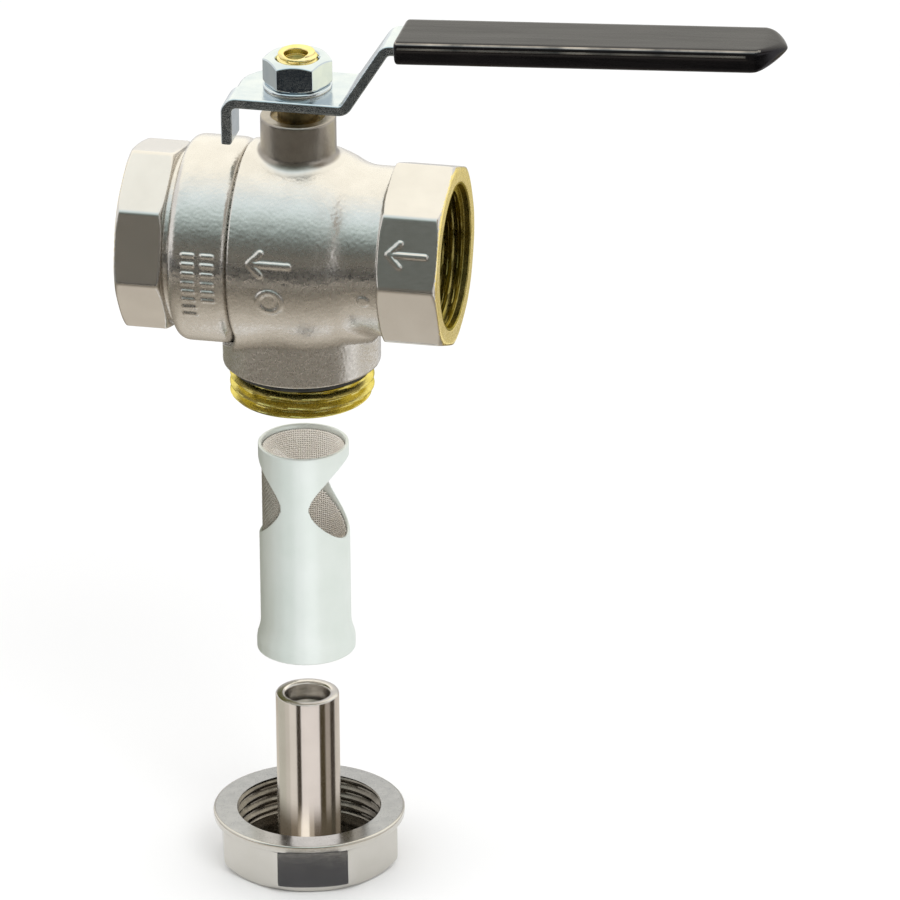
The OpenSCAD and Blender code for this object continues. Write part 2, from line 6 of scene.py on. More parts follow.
import bmesh
import bpy
import numpy as np
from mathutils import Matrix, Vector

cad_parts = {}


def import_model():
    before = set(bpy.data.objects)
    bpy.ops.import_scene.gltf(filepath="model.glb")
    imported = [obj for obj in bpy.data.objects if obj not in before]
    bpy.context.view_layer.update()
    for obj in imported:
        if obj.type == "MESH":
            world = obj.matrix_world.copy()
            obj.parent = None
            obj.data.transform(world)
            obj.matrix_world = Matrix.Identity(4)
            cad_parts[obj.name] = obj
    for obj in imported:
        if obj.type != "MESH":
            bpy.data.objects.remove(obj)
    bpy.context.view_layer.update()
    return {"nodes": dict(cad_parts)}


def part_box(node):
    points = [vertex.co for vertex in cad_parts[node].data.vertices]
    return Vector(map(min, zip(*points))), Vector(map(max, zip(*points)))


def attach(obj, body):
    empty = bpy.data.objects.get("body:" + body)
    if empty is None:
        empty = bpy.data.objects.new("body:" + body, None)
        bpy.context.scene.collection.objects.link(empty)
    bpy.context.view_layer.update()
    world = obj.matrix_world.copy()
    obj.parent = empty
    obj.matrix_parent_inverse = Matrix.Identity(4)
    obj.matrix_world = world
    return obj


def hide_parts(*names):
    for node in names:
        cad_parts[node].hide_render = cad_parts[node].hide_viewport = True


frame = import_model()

import openvdb
from mathutils import Matrix, Vector

MM = 0.001
scene = bpy.context.scene

# Sizes repeated or worked out from the part's source
MAJOR_R, MINOR_R, PITCH = 16.625, 15.145, 2.31
MOUTH_R, MOUTH_L = 16.8, 1.6
BARREL_R, COLLAR_R, SPIGOT_R = 24.1, 19.525, 22.0
SEAM_X, SPIGOT_X, WEB_X = -12.0, -17.0, 20.5
INLET_X, INLET_OCTAGON_X = 36.4, 22.2
OUTLET_X, OUTLET_OCTAGON_X, END_BARREL_X = 39.0, 27.9, 26.3
OCTAGON_AF, OUTLET_TURN = 41.0, 10.0
CHAMBER_R, SEAT_R, SEAT_BACK_X, PORT_R = 20.6, 15.05, 18.5, 11.0
BOSS_R, BOSS_Z = 8.7, 32.4
NECK_R, NECK_Z, NECK_END_Z, NECK_BORE_R, UNDERCUT_L = 18.2, -28.3, -36.8, 12.0, 2.0
STEM_R, STEM_TOP_Z, STEM_FLATS = 4.7, 48.1, 7.0
PLATE_Z, STRIP_T, PLATE_HALF, PLATE_LEFT, BEND_X = 36.7, 2.5, 10.1, 13.3, 12.8
TAB_W, TAB_DROP, PLATE_CORNER_R, STRIP_R = 8.5, 8.9, 9.0, 2.45
ARM_TOP, TONGUE_HALF, GRIP_TILT = (21.783, 52.05), 6.5, math.radians(3.1)
GRIP_L, GRIP_W, GRIP_T, GRIP_START = 91.0, 15.8, 5.2, 1.0
NUT_AF, NUT_Z, NUT_H, NUT_TURN = 14.0, 40.2, 6.5, math.radians(7)
WASHER_R = 7.9
CAP_TRAVEL, FILTER_TRAVEL = 114.5, 62.5
FILTER_R, FILTER_BORE_R, MESH_R, WINDOW_R = 10.5, 9.7, 9.5, 9.75
FILTER_TOP, FILTER_BOTTOM, FOOT_R, LIP_L, FLARE_L = 13.0, -38.9, 11.45, 1.5, 5.5
CAP_TOP, CAP_FLOOR, CAP_BOTTOM = -28.4, -39.0, -41.2
FLANGE_R, FLANGE_T, CAP_AF, CAP_TURN = 22.35, 2.0, 40.5, -7.5
CAP_BORE_R = 16.675
SLEEVE_R, SLEEVE_BORE_R, SLEEVE_L, SLEEVE_FOOT_R, SLEEVE_FOOT_T = 7.4, 5.2, 40.0, 8.2, 1.5
SLEEVE_HOLE_R, SCREW_HOLE_R, SCREW_HOLE_L = 2.2, 2.15, 1.6
FLANGE_ROOM_R, FLANGE_ROOM_Z, GLAND_R, GLAND_Z = 6.45, 22.6, 6.3, 26.5
STEM_FLANGE_R, STEM_FLANGE_LOW_Z, STEM_FLANGE_Z = 6.4, 20.2, 21.8
TANG_HALF_L, TANG_HALF_W = 5.75, 2.5
SEAL_GROOVE_R, SEAL_GROOVE_Z, SEAL_GROOVE_HALF = 3.2, 24.55, 0.75
RIB_HALF, RIB_REACH, RIB_Z = 1.5, 16.3, 29.5
HUB_R, HUB_X, JOINT_X, JOINT_END_X = 16.45, 13.38, 10.0, 17.85
BACK_TAB_X, BACK_TAB_HALF, BACK_TAB_START, BACK_TAB_Y = 3.1, 1.5, 8.0, 11.45

# Small clearances and tolerances
FIT = 0.05
LINER_FIT = 0.15


# Camera
PHOTO_SIDE = 900
FOCAL_PX = 12000.0
YAW, PITCH_DOWN, ROLL = (math.radians(a) for a in (12.5, 24.5, 0.6))
TARGET = Vector((34.6, 0.0, -48.73)) * MM
DISTANCE = 2758.8 * MM


def make_camera():
    forward = Vector(
        (-math.sin(YAW) * math.cos(PITCH_DOWN), math.cos(YAW) * math.cos(PITCH_DOWN), -math.sin(PITCH_DOWN))
    )
    right = Vector((math.cos(YAW), math.sin(YAW), 0))
    up = right.cross(forward)
    side = right * math.cos(ROLL) - up * math.sin(ROLL)
    top = up * math.cos(ROLL) + right * math.sin(ROLL)
    data = bpy.data.cameras.new("camera")
    data.sensor_width = 36
    data.lens = FOCAL_PX / PHOTO_SIDE * data.sensor_width
    data.clip_start, data.clip_end = 0.1, 20
    camera = bpy.data.objects.new("camera", data)
    turn = Matrix((side, top, -forward)).transposed()
    camera.matrix_world = Matrix.Translation(TARGET - forward * DISTANCE) @ turn.to_4x4()
    scene.collection.objects.link(camera)
    scene.camera = camera


make_camera()


# Materials
def shader(name):
    mat = bpy.data.materials.new(name)
    mat.use_nodes = True
    tree = mat.node_tree
    return mat, tree, tree.nodes["Principled BSDF"]


def put(made, links=None, **values):
    """Sets properties and inputs of a node; links names the sockets that feed its inputs."""
    for key, value in values.items():
        if hasattr(made, key):
            setattr(made, key, value)
        else:
            made.inputs[key.replace("_", " ")].default_value = value
    for key, socket in (links or {}).items():
        made.id_data.links.new(socket, made.inputs[key])
    return made


def node(tree, kind, links=None, **values):
    return put(tree.nodes.new(kind), links, **values)


def place_in(tree):
    """The place on the object, in metres."""
    return node(tree, "ShaderNodeTexCoord").outputs["Object"]


def noise(tree, size_mm, detail, stretch=(1, 1, 1)):
    """Noise whose features are about size_mm across, and shorter along an axis where stretch is above 1."""
    mapping = node(tree, "ShaderNodeMapping", {"Vector": place_in(tree)}, Scale=stretch)
    links = {"Vector": mapping.outputs["Vector"]}
    return node(tree, "ShaderNodeTexNoise", links, Scale=1 / (size_mm * MM), Detail=detail).outputs["Fac"]


def mix_colour(tree, factor, low, high):
    mix = node(tree, "ShaderNodeMix", data_type="RGBA")
    tree.links.new(factor, mix.inputs["Factor"])
    for socket, value in ((mix.inputs[6], low), (mix.inputs[7], high)):
        if isinstance(value, bpy.types.NodeSocket):
            tree.links.new(value, socket)
        else:
            socket.default_value = (*value, 1)
    return mix.outputs[2]


def between(tree, factor, low, high, start=0.3, end=0.7):
    limits = {"From_Min": start, "From_Max": end, "To_Min": low, "To_Max": high}
    return node(tree, "ShaderNodeMapRange", {"Value": factor}, **limits).outputs["Result"]


def bump(tree, shader_node, layers):
    """Bumps of (height socket, depth in mm), one on the other."""
    under = {}
    for height, depth in layers:
        made = node(tree, "ShaderNodeBump", {"Height": height, **under}, Strength=1.0, Distance=depth * MM)
        under = {"Normal": made.outputs["Normal"]}
    tree.links.new(under["Normal"], shader_node.inputs["Normal"])


def metal(name, tones, rough, patch, grain, streaks=(1, 1, 1), anisotropic=0.0, around=None, metallic=1.0):
    """A metal whose tone and roughness vary in patches.

    tones and rough are lowest and highest values, patch is a patch's size in mm, and grain holds each bump's
    size and depth in mm. streaks stretches the fine noise, and around is the axis of a turned finish.
    """
    mat, tree, bsdf = shader(name)
    cloud = noise(tree, patch, 4.0)
    tone = mix_colour(tree, between(tree, cloud, 0, 1), *tones)
    fine = noise(tree, patch / 5, 3.0, streaks)
    put(bsdf, {"Base Color": tone, "Roughness": between(tree, fine, *rough)}, Metallic=metallic)
    bump(tree, bsdf, [(noise(tree, size, 0.0, streaks), depth) for size, depth in grain])
    if anisotropic:
        tangent = node(tree, "ShaderNodeTangent", direction_type="RADIAL", axis=around).outputs["Tangent"]
        put(bsdf, {"Tangent": tangent}, Anisotropic=anisotropic, Anisotropic_Rotation=0.25)
    return mat


CAST = metal(
    "cast_nickel", ((0.65, 0.62, 0.58), (0.71, 0.68, 0.64)), (0.24, 0.31), 5.0, ((0.8, 0.042), (2.2, 0.035))
)
# Darker nickel: painted shade on the stem's boss under the lever's plate
CAST_PAINTED_SHADE = metal(
    "cast_nickel_painted_shade", ((0.33, 0.297, 0.258), (0.395, 0.363, 0.32)), (0.28, 0.36), 5.0, ((0.8, 0.025),)
)


FOOT_START_R, FOOT_END_R = 9.2, 9.7


def principled(mat):
    return mat.node_tree.nodes["Principled BSDF"]


def end_at_foot(mat, outer):
    """Lets the painted shade on the stem's boss end where its foot widens."""
    tree = mat.node_tree
    base = principled(mat).inputs["Base Color"]
    flat = node(tree, "ShaderNodeVectorMath", operation="MULTIPLY")
    flat.inputs[1].default_value = (1, 1, 0)
    tree.links.new(place_in(tree), flat.inputs[0])
    length = node(tree, "ShaderNodeVectorMath", operation="LENGTH")
    tree.links.new(flat.outputs["Vector"], length.inputs[0])
    part = between(tree, length.outputs["Value"], 0, 1, FOOT_START_R * MM, FOOT_END_R * MM)
    tree.links.new(mix_colour(tree, part, base.links[0].from_socket, outer), base)


end_at_foot(CAST_PAINTED_SHADE, (0.68, 0.65, 0.61))
MACHINED = metal(
    "machined_nickel", ((0.65, 0.62, 0.58), (0.70, 0.67, 0.63)), (0.21, 0.27), 9.0, ((0.4, 0.006),), (1, 3, 3)
)
BRASS = metal(
    "brass_faced", ((0.84, 0.69, 0.29), (0.95, 0.82, 0.46)), (0.18, 0.30), 4.0, ((0.3, 0.01),), (4, 1, 1)
)
BRASS_Z = metal(
    "brass_turned", ((0.58, 0.49, 0.13), (0.74, 0.64, 0.24)), (0.18, 0.32), 4.0, ((0.3, 0.01),), (1, 1, 4)
)
# Darkened brass: painted shade inside the sockets' bores and in the stem's top recess
BRASS_BORE_SHADE = metal(
    "brass_bore_painted_shade", ((0.22, 0.18, 0.05), (0.40, 0.33, 0.11)), (0.22, 0.38), 3.0, ((0.3, 0.01),), (4, 1, 1)
)
# Dark brass: painted shade on the stem below the plate and on the gland ring in the boss
BRASS_UNDER_PLATE_SHADE = metal("brass_under_plate_painted_shade", ((0.16, 0.12, 0.06), (0.30, 0.23, 0.11)), (0.30, 0.45), 2.0, ((0.4, 0.02),))
put(principled(BRASS), Specular_Tint=(1.0, 0.93, 0.62, 1))
for brass in (BRASS_Z, BRASS_BORE_SHADE):
    put(principled(brass), Specular_Tint=(0.93, 0.85, 0.42, 1))
ZINC = metal(
    "zinc_plated", ((0.55, 0.62, 0.67), (0.65, 0.70, 0.72)), (0.14, 0.26), 4.0, ((0.5, 0.008), (3.0, 0.02))
)
ZINC_NUT = metal(
    "zinc_nut", ((0.53, 0.60, 0.65), (0.62, 0.68, 0.70)), (0.08, 0.13), 4.0, ((0.5, 0.004), (3.0, 0.015))
)
ZINC_EDGE = metal(
    "zinc_sheared", ((0.25, 0.285, 0.31), (0.40, 0.43, 0.45)), (0.20, 0.34), 2.0, ((0.5, 0.03), (1.5, 0.04)),
    (1, 1, 3)
)
TURNED = metal(
    "turned_steel", ((0.72, 0.68, 0.64), (0.78, 0.74, 0.70)), (0.21, 0.26), 8.0, ((0.6, 0.002),),
    (0.1, 0.1, 4), 0.8, "Z"
)
CAP_METAL = metal(
    "cap_nickel", ((0.57, 0.55, 0.50), (0.62, 0.60, 0.56)), (0.16, 0.24), 8.0, ((0.3, 0.003),), (1, 1, 3)
)
CAP_FACE = metal(
    "cap_flange_nickel", ((0.56, 0.56, 0.55), (0.66, 0.655, 0.64)), (0.26, 0.34), 2.0,
    ((0.6, 0.005), (1.4, 0.010))
)
# Very dark nickel: painted shade inside the cap's threaded bore
CAP_BORE_SHADE = metal(
    "cap_thread_painted_shade", ((0.155, 0.14, 0.115), (0.26, 0.235, 0.20)), (0.20, 0.32), 5.0, ((0.3, 0.006),),
    (1, 1, 3)
)
SATIN = metal(
    "satin_frame", ((0.71, 0.75, 0.71), (0.76, 0.79, 0.76)), (0.36, 0.44), 9.0, ((0.6, 0.004), (5.0, 0.02)),
    (1, 1, 0.3), metallic=0.55
)
WIRE = metal(
    "mesh_wire", ((0.34, 0.31, 0.27), (0.44, 0.41, 0.36)), (0.35, 0.50), 3.0, ((0.3, 0.005),), metallic=0.6
)
# Near-white, hardly metallic copy of the wire: painted light on the mesh's inner faces, which lie in the
# tube's shade
WIRE_INSIDE_PAINTED_LIGHT = metal(
    "mesh_wire_inside_painted_light", ((0.90, 0.85, 0.78), (0.94, 0.90, 0.84)), (0.35, 0.50), 3.0, ((0.3, 0.005),),
    metallic=0.1
)
CHROME = metal("ball_chrome", ((0.74, 0.75, 0.77), (0.80, 0.81, 0.82)), (0.05, 0.10), 8.0, ((0.4, 0.002),))


def plastic(name, tones, rough, patch, grain, streaks=(1, 1, 1)):
    return metal(name, tones, rough, patch, grain, streaks, metallic=0.0)


VINYL = plastic(
    "black_vinyl", ((0.001, 0.001, 0.001), (0.004, 0.0034, 0.003)), (0.18, 0.34), 9.0,
    ((0.9, 0.010), (4.0, 0.05)), (0.06, 1, 1)
)
put(principled(VINYL), Specular_IOR_Level=0.36, Specular_Tint=(0.88, 0.83, 0.92, 1))
# Grey, nearly metallic vinyl: a painted highlight line along the grip's upper edge and its ridge
VINYL_PAINTED_HIGHLIGHT = metal(
    "black_vinyl_painted_highlight", ((0.10, 0.10, 0.10), (0.42, 0.38, 0.34)), (0.16, 0.28), 6.0, ((0.9, 0.01),),
    (0.1, 1, 1), metallic=0.9
)
PTFE = plastic("ptfe", ((0.84, 0.84, 0.80), (0.90, 0.90, 0.88)), (0.45, 0.60), 4.0, ((0.5, 0.01),))
RUBBER = plastic(
    "black_rubber", ((0.012, 0.012, 0.013), (0.03, 0.03, 0.03)), (0.45, 0.65), 3.0, ((0.4, 0.01),)
)


# Pieces
def piece(name, points, faces, mats, body, replaced=(), normals=None, sharp=35.0, slots_of=None):
    """A mesh piece from points in mm. mats are its materials, and slots_of the material of each face."""
    mesh = bpy.data.meshes.new(name)
    faces = faces.tolist() if isinstance(faces, np.ndarray) else faces
    mesh.from_pydata((np.asarray(points) * MM).tolist(), [], faces)
    for mat in mats if isinstance(mats, list) else [mats]:
        mesh.materials.append(mat)
    if slots_of is not None:
        mesh.polygons.foreach_set("material_index", np.asarray(slots_of, np.int32))
    mesh.shade_smooth()
    if normals is None:
        work = bmesh.new()
        work.from_mesh(mesh)
        bmesh.ops.recalc_face_normals(work, faces=work.faces)
        work.to_mesh(mesh)
        work.free()
        mesh.set_sharp_from_angle(angle=math.radians(sharp))
    else:
        mesh.normals_split_custom_set_from_vertices(normals.tolist())
    mesh.update()
    obj = bpy.data.objects.new(name, mesh)
    scene.collection.objects.link(obj)
    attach(obj, body)
    if replaced:
        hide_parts(*replaced)
    return obj


# Distances: negative inside, positive outside
def soft_min(a, b, reach):
    h = np.maximum(reach - np.abs(a - b), 0) / reach
    return np.minimum(a, b) - h * h * reach / 4


def soft_max(a, b, reach):
    return -soft_min(-a, -b, reach)


def both(*parts):
    """What lies in every part."""
    return reduce(np.maximum, parts)


def either(*parts):
    """What lies in any part."""
    return reduce(np.minimum, parts)


def slab(value, low, high):
    return np.maximum(low - value, value - high)


def rod(radius, r, along, low, high):
    """A round bar of radius r from low to high."""
    return both(radius - r, slab(along, low, high))


def prism(u, v, across, turn, edge, sides=8):
    """Distance to a regular prism with rounded edges; its first corner is at the turn."""
    radius = np.hypot(u, v)
    step = 2 * math.pi / sides
    off = np.mod(np.arctan2(v, u) - turn, step) - step / 2
    near = radius * np.cos(off) - across / 2
    beside = radius * np.cos(step - np.abs(off)) - across / 2
    return soft_max(near, beside, edge)


def segment(u, v, a, b):
    """Distance to the line from a to b in a plane."""
    du, dv = b[0] - a[0], b[1] - a[1]
    t = np.clip(((u - a[0]) * du + (v - a[1]) * dv) / (du * du + dv * dv), 0, 1)
    return np.hypot(u - a[0] - t * du, v - a[1] - t * dv)


def arrow(u, v, half, barb, width):
    """A plain arrow towards -u."""
    shaft = segment(u, v, (-half, 0), (half, 0))
    barbs = segment(u, np.abs(v), (-half, 0), (-half + barb, barb))
    return np.minimum(shaft, barbs) - width / 2


def cone_end(radius, x, end, flat, slope=2.0):
    """The bevel that takes the corners off the end of a prism."""
    return ((radius - flat) + slope * (x - end)) / math.hypot(1, slope)


def settle(distance, points, rounds=3, reach=0.3):
    """Moves points onto the surface and returns them with its normals."""
    eps, least = 0.015, 0.2
    for turn in range(rounds + 1):
        slope = np.empty_like(points)
        for axis in range(3):
            step = np.zeros(3)
            step[axis] = eps
            slope[:, axis] = distance(*(points + step).T) - distance(*(points - step).T)
        slope /= 2 * eps
        size = np.maximum(np.linalg.norm(slope, axis=1, keepdims=True), least)
        if turn < rounds:
            move = distance(*points.T)[:, None] / size
            points = points - np.clip(move, -reach, reach) * slope / size
    return points, slope / size


def surface(distance, low, high, step):
    """Points, quads and normals of the surface where distance(x, y, z) is zero."""
    margin, slice_size = 2 * step, 16
    axes = [np.arange(a - margin, b + margin, step) for a, b in zip(low, high)]
    values = np.empty([len(a) for a in axes], np.float32)
    y, z = np.meshgrid(axes[1], axes[2], indexing="ij")
    for start in range(0, len(axes[0]), slice_size):
        rows = slice(start, start + slice_size)
        values[rows] = distance(*np.broadcast_arrays(axes[0][rows, None, None], y[None], z[None]))
    band = 3 * step
    grid = openvdb.FloatGrid()
    grid.background = band
    grid.copyFromArray(np.clip(values, -band, band))
    points, quads = grid.convertToQuads(isovalue=0.0)
    points = np.asarray(points, float) * step + [a[0] for a in axes]
    points, normals = settle(distance, points, reach=0.6 * step)
    a, b, c = (points[quads[:, i]] for i in range(3))
    if np.mean(np.einsum("ij,ij->i", np.cross(b - a, c - a), normals[quads[:, 0]])) < 0:
        quads = quads[:, ::-1]
    return points, quads, normals


def shaped(name, distance, box, step, mats, body, replaced=(), kinds=None):
    """A piece from its distance; kinds gives the material of each face by the face's middle."""
    points, quads, normals = surface(distance, *box, step)
    slots_of = None if kinds is None else kinds(*points[quads].mean(1).T)
    piece(name, points, quads, mats, body, replaced, normals, slots_of=slots_of)


def upright(reach, low, high):
    """The box around an upright piece."""
    return (-reach, -reach, low), (reach, reach, high)


# Valve body
MARK_H = 0.35
SKIN = 0.35
EDGE = 0.5
CAST_STEP = 0.42
BEVEL_FLAT = OCTAGON_AF / 2 + 0.2

# How far the casting's outside lies below the barrel's, along X
outline_x = np.array([-40.0, 2.0, 4.0, 6.0, 8.0, 9.0, 10.0, 11.0, 12.0, 13.0, 14.0, 15.0, 16.0, 17.0, 50.0])
outline_drop = np.array(
    [0.0, 0.0, 0.12, 0.49, 1.09, 1.50, 1.90, 2.30, 2.85, 3.45, 3.95, 4.28, 4.5, 4.575, 4.575]
)


def body_radius(x):
    """Outside radius of the body's casting, from barrel to collar, with its steps softened."""
    spread = (-0.8, -0.4, 0.0, 0.4, 0.8)
    drop = sum(np.interp(x + s, outline_x, outline_drop) for s in spread) / len(spread)
    return BARREL_R - SKIN - drop + SKIN * drop / outline_drop[-1]


def marks_on_body(x, y, z, radius):
    """Plain raised marks: an arrow and a ring on the barrel, a dot on the collar."""
    along = BARREL_R * np.arctan2(z, -y)
    middle_x, arrow_up, ring_down, ring_r, ring_half = -2.0, 4.6, 4.8, 2.7, 0.55
    dot_x, dot_down, dot_r = 18.9, 4.6, 1.25
    sign = arrow(x - middle_x, along - arrow_up, half=4.6, barb=2.6, width=1.15)
    ring = np.abs(np.hypot(x - middle_x, along + ring_down) - ring_r) - ring_half
    dot = np.hypot(x - dot_x, along * COLLAR_R / BARREL_R + dot_down) - dot_r
    plane = either(sign, ring, dot)
    lift = radius - body_radius(x) - MARK_H
    return soft_max(plane, both(lift, y), 0.35)


def flat_mark(x, y, z):
    """The raised flow arrow on the inlet octagon's front flat."""
    tilt, middle_x, down = math.radians(22.5), 29.2, 0.3
    out = -y * math.cos(tilt) + z * math.sin(tilt) - OCTAGON_AF / 2
    along = z * math.cos(tilt) + y * math.sin(tilt)
    plane = arrow(x - middle_x, along + down, half=4.3, barb=2.7, width=1.0)
    return soft_max(plane, np.abs(out) - MARK_H, 0.3)


def octagon_head(x, y, z, turn, low, high):
    """An octagon from low to high along X, with the corners taken off both ends."""
    radius = np.hypot(y, z)
    sides = prism(y, z, OCTAGON_AF, turn, EDGE)
    ends = both(cone_end(radius, x, high, BEVEL_FLAT), cone_end(radius, -x, -low, BEVEL_FLAT))
    return soft_max(soft_max(sides, ends, EDGE), slab(x, low, high), 0.35)


def bored(radius, x, mouth):
    """The room of a seat, the port and the socket behind it."""
    seat = rod(radius, SEAT_R, x, 0, SEAT_BACK_X)
    port = rod(radius, PORT_R, x, 0, WEB_X + 1)
    return either(seat, port, rod(radius, MOUTH_R + LINER_FIT, x, WEB_X, mouth + 2))


def body_distance(x, y, z):
    radius = np.hypot(y, z)
    round_z = np.hypot(x, y)
    shell = radius - body_radius(x)
    barrel = soft_max(shell, slab(x, SEAM_X, INLET_OCTAGON_X + 1), 0.6)
    head = octagon_head(x, y, z, 0.0, INLET_OCTAGON_X, INLET_X)
    boss = soft_max(round_z - BOSS_R, slab(z, 0, BOSS_Z), 0.6)
    neck = soft_max(round_z - NECK_R, slab(z, NECK_Z, 0), 0.5)
    under_end, far_inside = BARREL_R + 0.2 - radius, -5.0
    neck = soft_max(neck, np.where(x < SEAM_X + 0.5, under_end, far_inside), 0.2)
    rib = soft_max(both(np.abs(x) - RIB_HALF, slab(y, 0, RIB_REACH)), slab(z, 0, RIB_Z), 0.6)
    solid = soft_min(barrel, head, 0.5)
    solid = soft_min(solid, boss, 2.0)
    solid = soft_min(solid, neck, 2.4)
    solid = soft_min(solid, rib, 2.0)
    solid = soft_min(solid, marks_on_body(x, y, z, radius), 0.5)
    solid = soft_min(solid, flat_mark(x, y, z), 0.4)
    solid = either(solid, rod(radius, SPIGOT_R, x, SPIGOT_X, SEAM_X + 1))
    ball_room = np.hypot(radius, x) - CHAMBER_R
    hollow = either(rod(radius, CHAMBER_R, x, SPIGOT_X - 2, 0), ball_room, bored(radius, x, INLET_X))
    for bore_r, low, high in (
        (NECK_BORE_R, NECK_Z - 5, 0), (FLANGE_ROOM_R, 0, FLANGE_ROOM_Z), (STEM_R + FIT, 0, BOSS_Z + 2),
        (GLAND_R, GLAND_Z, BOSS_Z + 2),
    ):
        hollow = either(hollow, rod(round_z, bore_r, z, low, high))
    return soft_max(solid, -hollow, 0.3)


# Columns of raised bars on the end piece: their place along X and how many
BAR_COLUMNS = ((16.4, 6), (20.9, 8))
BAR_TOP, BAR_STEP, BAR_HALF_L, BAR_HALF_W = 5.5, 2.25, 1.1, 0.42


def end_distance(x, y, z):
    x = -x
    radius = np.hypot(y, z)
    shell = soft_max(radius - BARREL_R + SKIN, slab(x, -SEAM_X, END_BARREL_X), 3.0)
    shell = soft_max(shell, -SEAM_X - x, 0.5)
    collar_start = 15.0
    collar = rod(radius, COLLAR_R, x, collar_start, OUTLET_OCTAGON_X + 1)
    head = octagon_head(x, y, z, math.radians(OUTLET_TURN), OUTLET_OCTAGON_X, OUTLET_X)
    solid = soft_min(shell, collar, 0.8)
    solid = soft_min(solid, head, 0.5)
    along = BARREL_R * np.arctan2(z, -y)
    bars = math.inf
    for column, count in BAR_COLUMNS:
        for row in range(count):
            middle = BAR_TOP - BAR_STEP * row
            bar = segment(x, along, (column - BAR_HALF_L, middle), (column + BAR_HALF_L, middle))
            bars = np.minimum(bars, bar - BAR_HALF_W)
    lift = radius - (BARREL_R - SKIN) - MARK_H
    solid = soft_min(solid, soft_max(bars, both(lift, y), 0.35), 0.5)
    joint = both(rod(radius, SPIGOT_R + FIT, x, JOINT_X, JOINT_END_X), -rod(radius, HUB_R, x, HUB_X, WEB_X))
    ball_room = np.hypot(radius, x) - CHAMBER_R
    return soft_max(solid, -either(joint, ball_room, bored(radius, x, OUTLET_X)), 0.3)


def casting(name, distance, box, octagon_x, face_x, sign, replaced):
    """A casting: rough nickel, smooth on its octagon, raw brass on its end face, and a darker nickel on the
    boss as painted shade under the lever's plate.
    """

    def kinds(x, y, z):
        kind = np.zeros(len(x), int)
        radius, out = np.hypot(y, z), x * sign
        kind[(out > octagon_x) & (radius > COLLAR_R + 0.1)] = 1
        kind[out > face_x - 0.25] = 2
        kind[(out > WEB_X - 3) & (radius < MOUTH_R + 0.3)] = 2
        # Painted shade: the boss under the plate takes the darker nickel
        kind[(np.hypot(x, y) < BOSS_R + 2.2) & (z > 20)] = 3
        return kind

    mats = [CAST, MACHINED, BRASS, CAST_PAINTED_SHADE]
    shaped(name, distance, box, CAST_STEP, mats, "valve_body", replaced, kinds)


reach = BARREL_R + 0.1
body_box = (SPIGOT_X, -reach, NECK_Z - 0.1), (INLET_X + 0.1, reach, BOSS_Z + 0.1)
end_box = (-OUTLET_X - 0.1, -reach, -reach), (SEAM_X + 0.1, reach, reach)
casting("body_casting", body_distance, body_box, INLET_OCTAGON_X, INLET_X, 1, ["body"])
casting("end_casting", end_distance, end_box, OUTLET_OCTAGON_X, OUTLET_X, -1, ["end_connector"])


# Turned pieces and threads
def arc(start, end, part):
    """The vector part of the way round from start to end, which are equally long."""
    return start.slerp(end, part).normalized() * start.length


def rounded(corners, radii, steps=4):
    """A closed loop with its corners rounded."""
    loop = []
    corners = [Vector(c) for c in corners]
    for i, (here, r) in enumerate(zip(corners, radii)):
        if r <= 0:
            loop.append(tuple(here))
            continue
        back = (corners[i - 1] - here).normalized()
        on = (corners[(i + 1) % len(corners)] - here).normalized()
        half = back.angle(on) / 2
        centre = here + (back + on).normalized() * r / math.sin(half)
        start = here + back * r / math.tan(half) - centre
        end = here + on * r / math.tan(half) - centre
        for k in range(steps + 1):
            part = arc(start, end, k / steps) if start.angle(end) > 1e-4 else start
            loop.append(tuple(centre + part))
    return loop


def dense(loop, step):
    """The closed loop with long sides cut into short ones."""
    made = []
    for i, a in enumerate(loop):
        b = loop[(i + 1) % len(loop)]
        count = max(1, round(math.dist(a, b) / step))
        made += [tuple(p + (q - p) * k / count for p, q in zip(a, b)) for k in range(count)]
    return made


def turned(
    name, loop, mats, body, replaced=(), cut=None, along="z", sign=1, steps=144, sharp=35.0,
    slots_of=None
):
    """A closed section of (radius, height) turned round an axis; cut changes it by the angle."""
    loop = np.array(loop, float)
    angle = np.linspace(0, 2 * math.pi, steps, endpoint=False)
    r = np.repeat(loop[:, :1], steps, 1)
    h = np.repeat(loop[:, 1:], steps, 1)
    if cut is not None:
        r, h = cut(r, h, angle[None])
    u, v = r * np.cos(angle), r * np.sin(angle)
    points = np.stack((u, v, h) if along == "z" else (sign * h, u, v), -1).reshape(-1, 3)
    n = len(loop)
    i, j = np.meshgrid(np.arange(n), np.arange(steps), indexing="ij")
    i2, j2 = (i + 1) % n, (j + 1) % steps
    faces = np.stack((i * steps + j, i2 * steps + j, i2 * steps + j2, i * steps + j2), -1).reshape(-1, 4)
    kinds = None if slots_of is None else slots_of(loop).repeat(steps)
    return piece(name, points, faces, mats, body, replaced, sharp=sharp, slots_of=kinds)


def wave(height, angle, pitch=PITCH, low=0.14, high=0.88):
    """Thread form: 0 at the root and 1 at the crest, flat below low and above high."""
    t = np.mod(height / pitch + angle / (2 * math.pi), 1.0)
    return (np.clip(np.abs(2 * t - 1), low, high) - low) / (high - low)


SECTION_STEP = 0.17
THREAD_SHARP = 40
TOUCH = 0.01


def neck_cut(r, h, angle):
    """Cuts the neck's thread, which starts with a slope at the undercut."""
    top, slope = NECK_Z - UNDERCUT_L, 1.6
    crest = MINOR_R + FIT + (MAJOR_R - MINOR_R - FIT) * wave(h, angle)
    start = MINOR_R + np.maximum(0, top - h) * slope
    on_thread = (r > MINOR_R + TOUCH) & (h < top + TOUCH)
    return np.where(on_thread, np.minimum(r, np.minimum(crest, start)), r), h


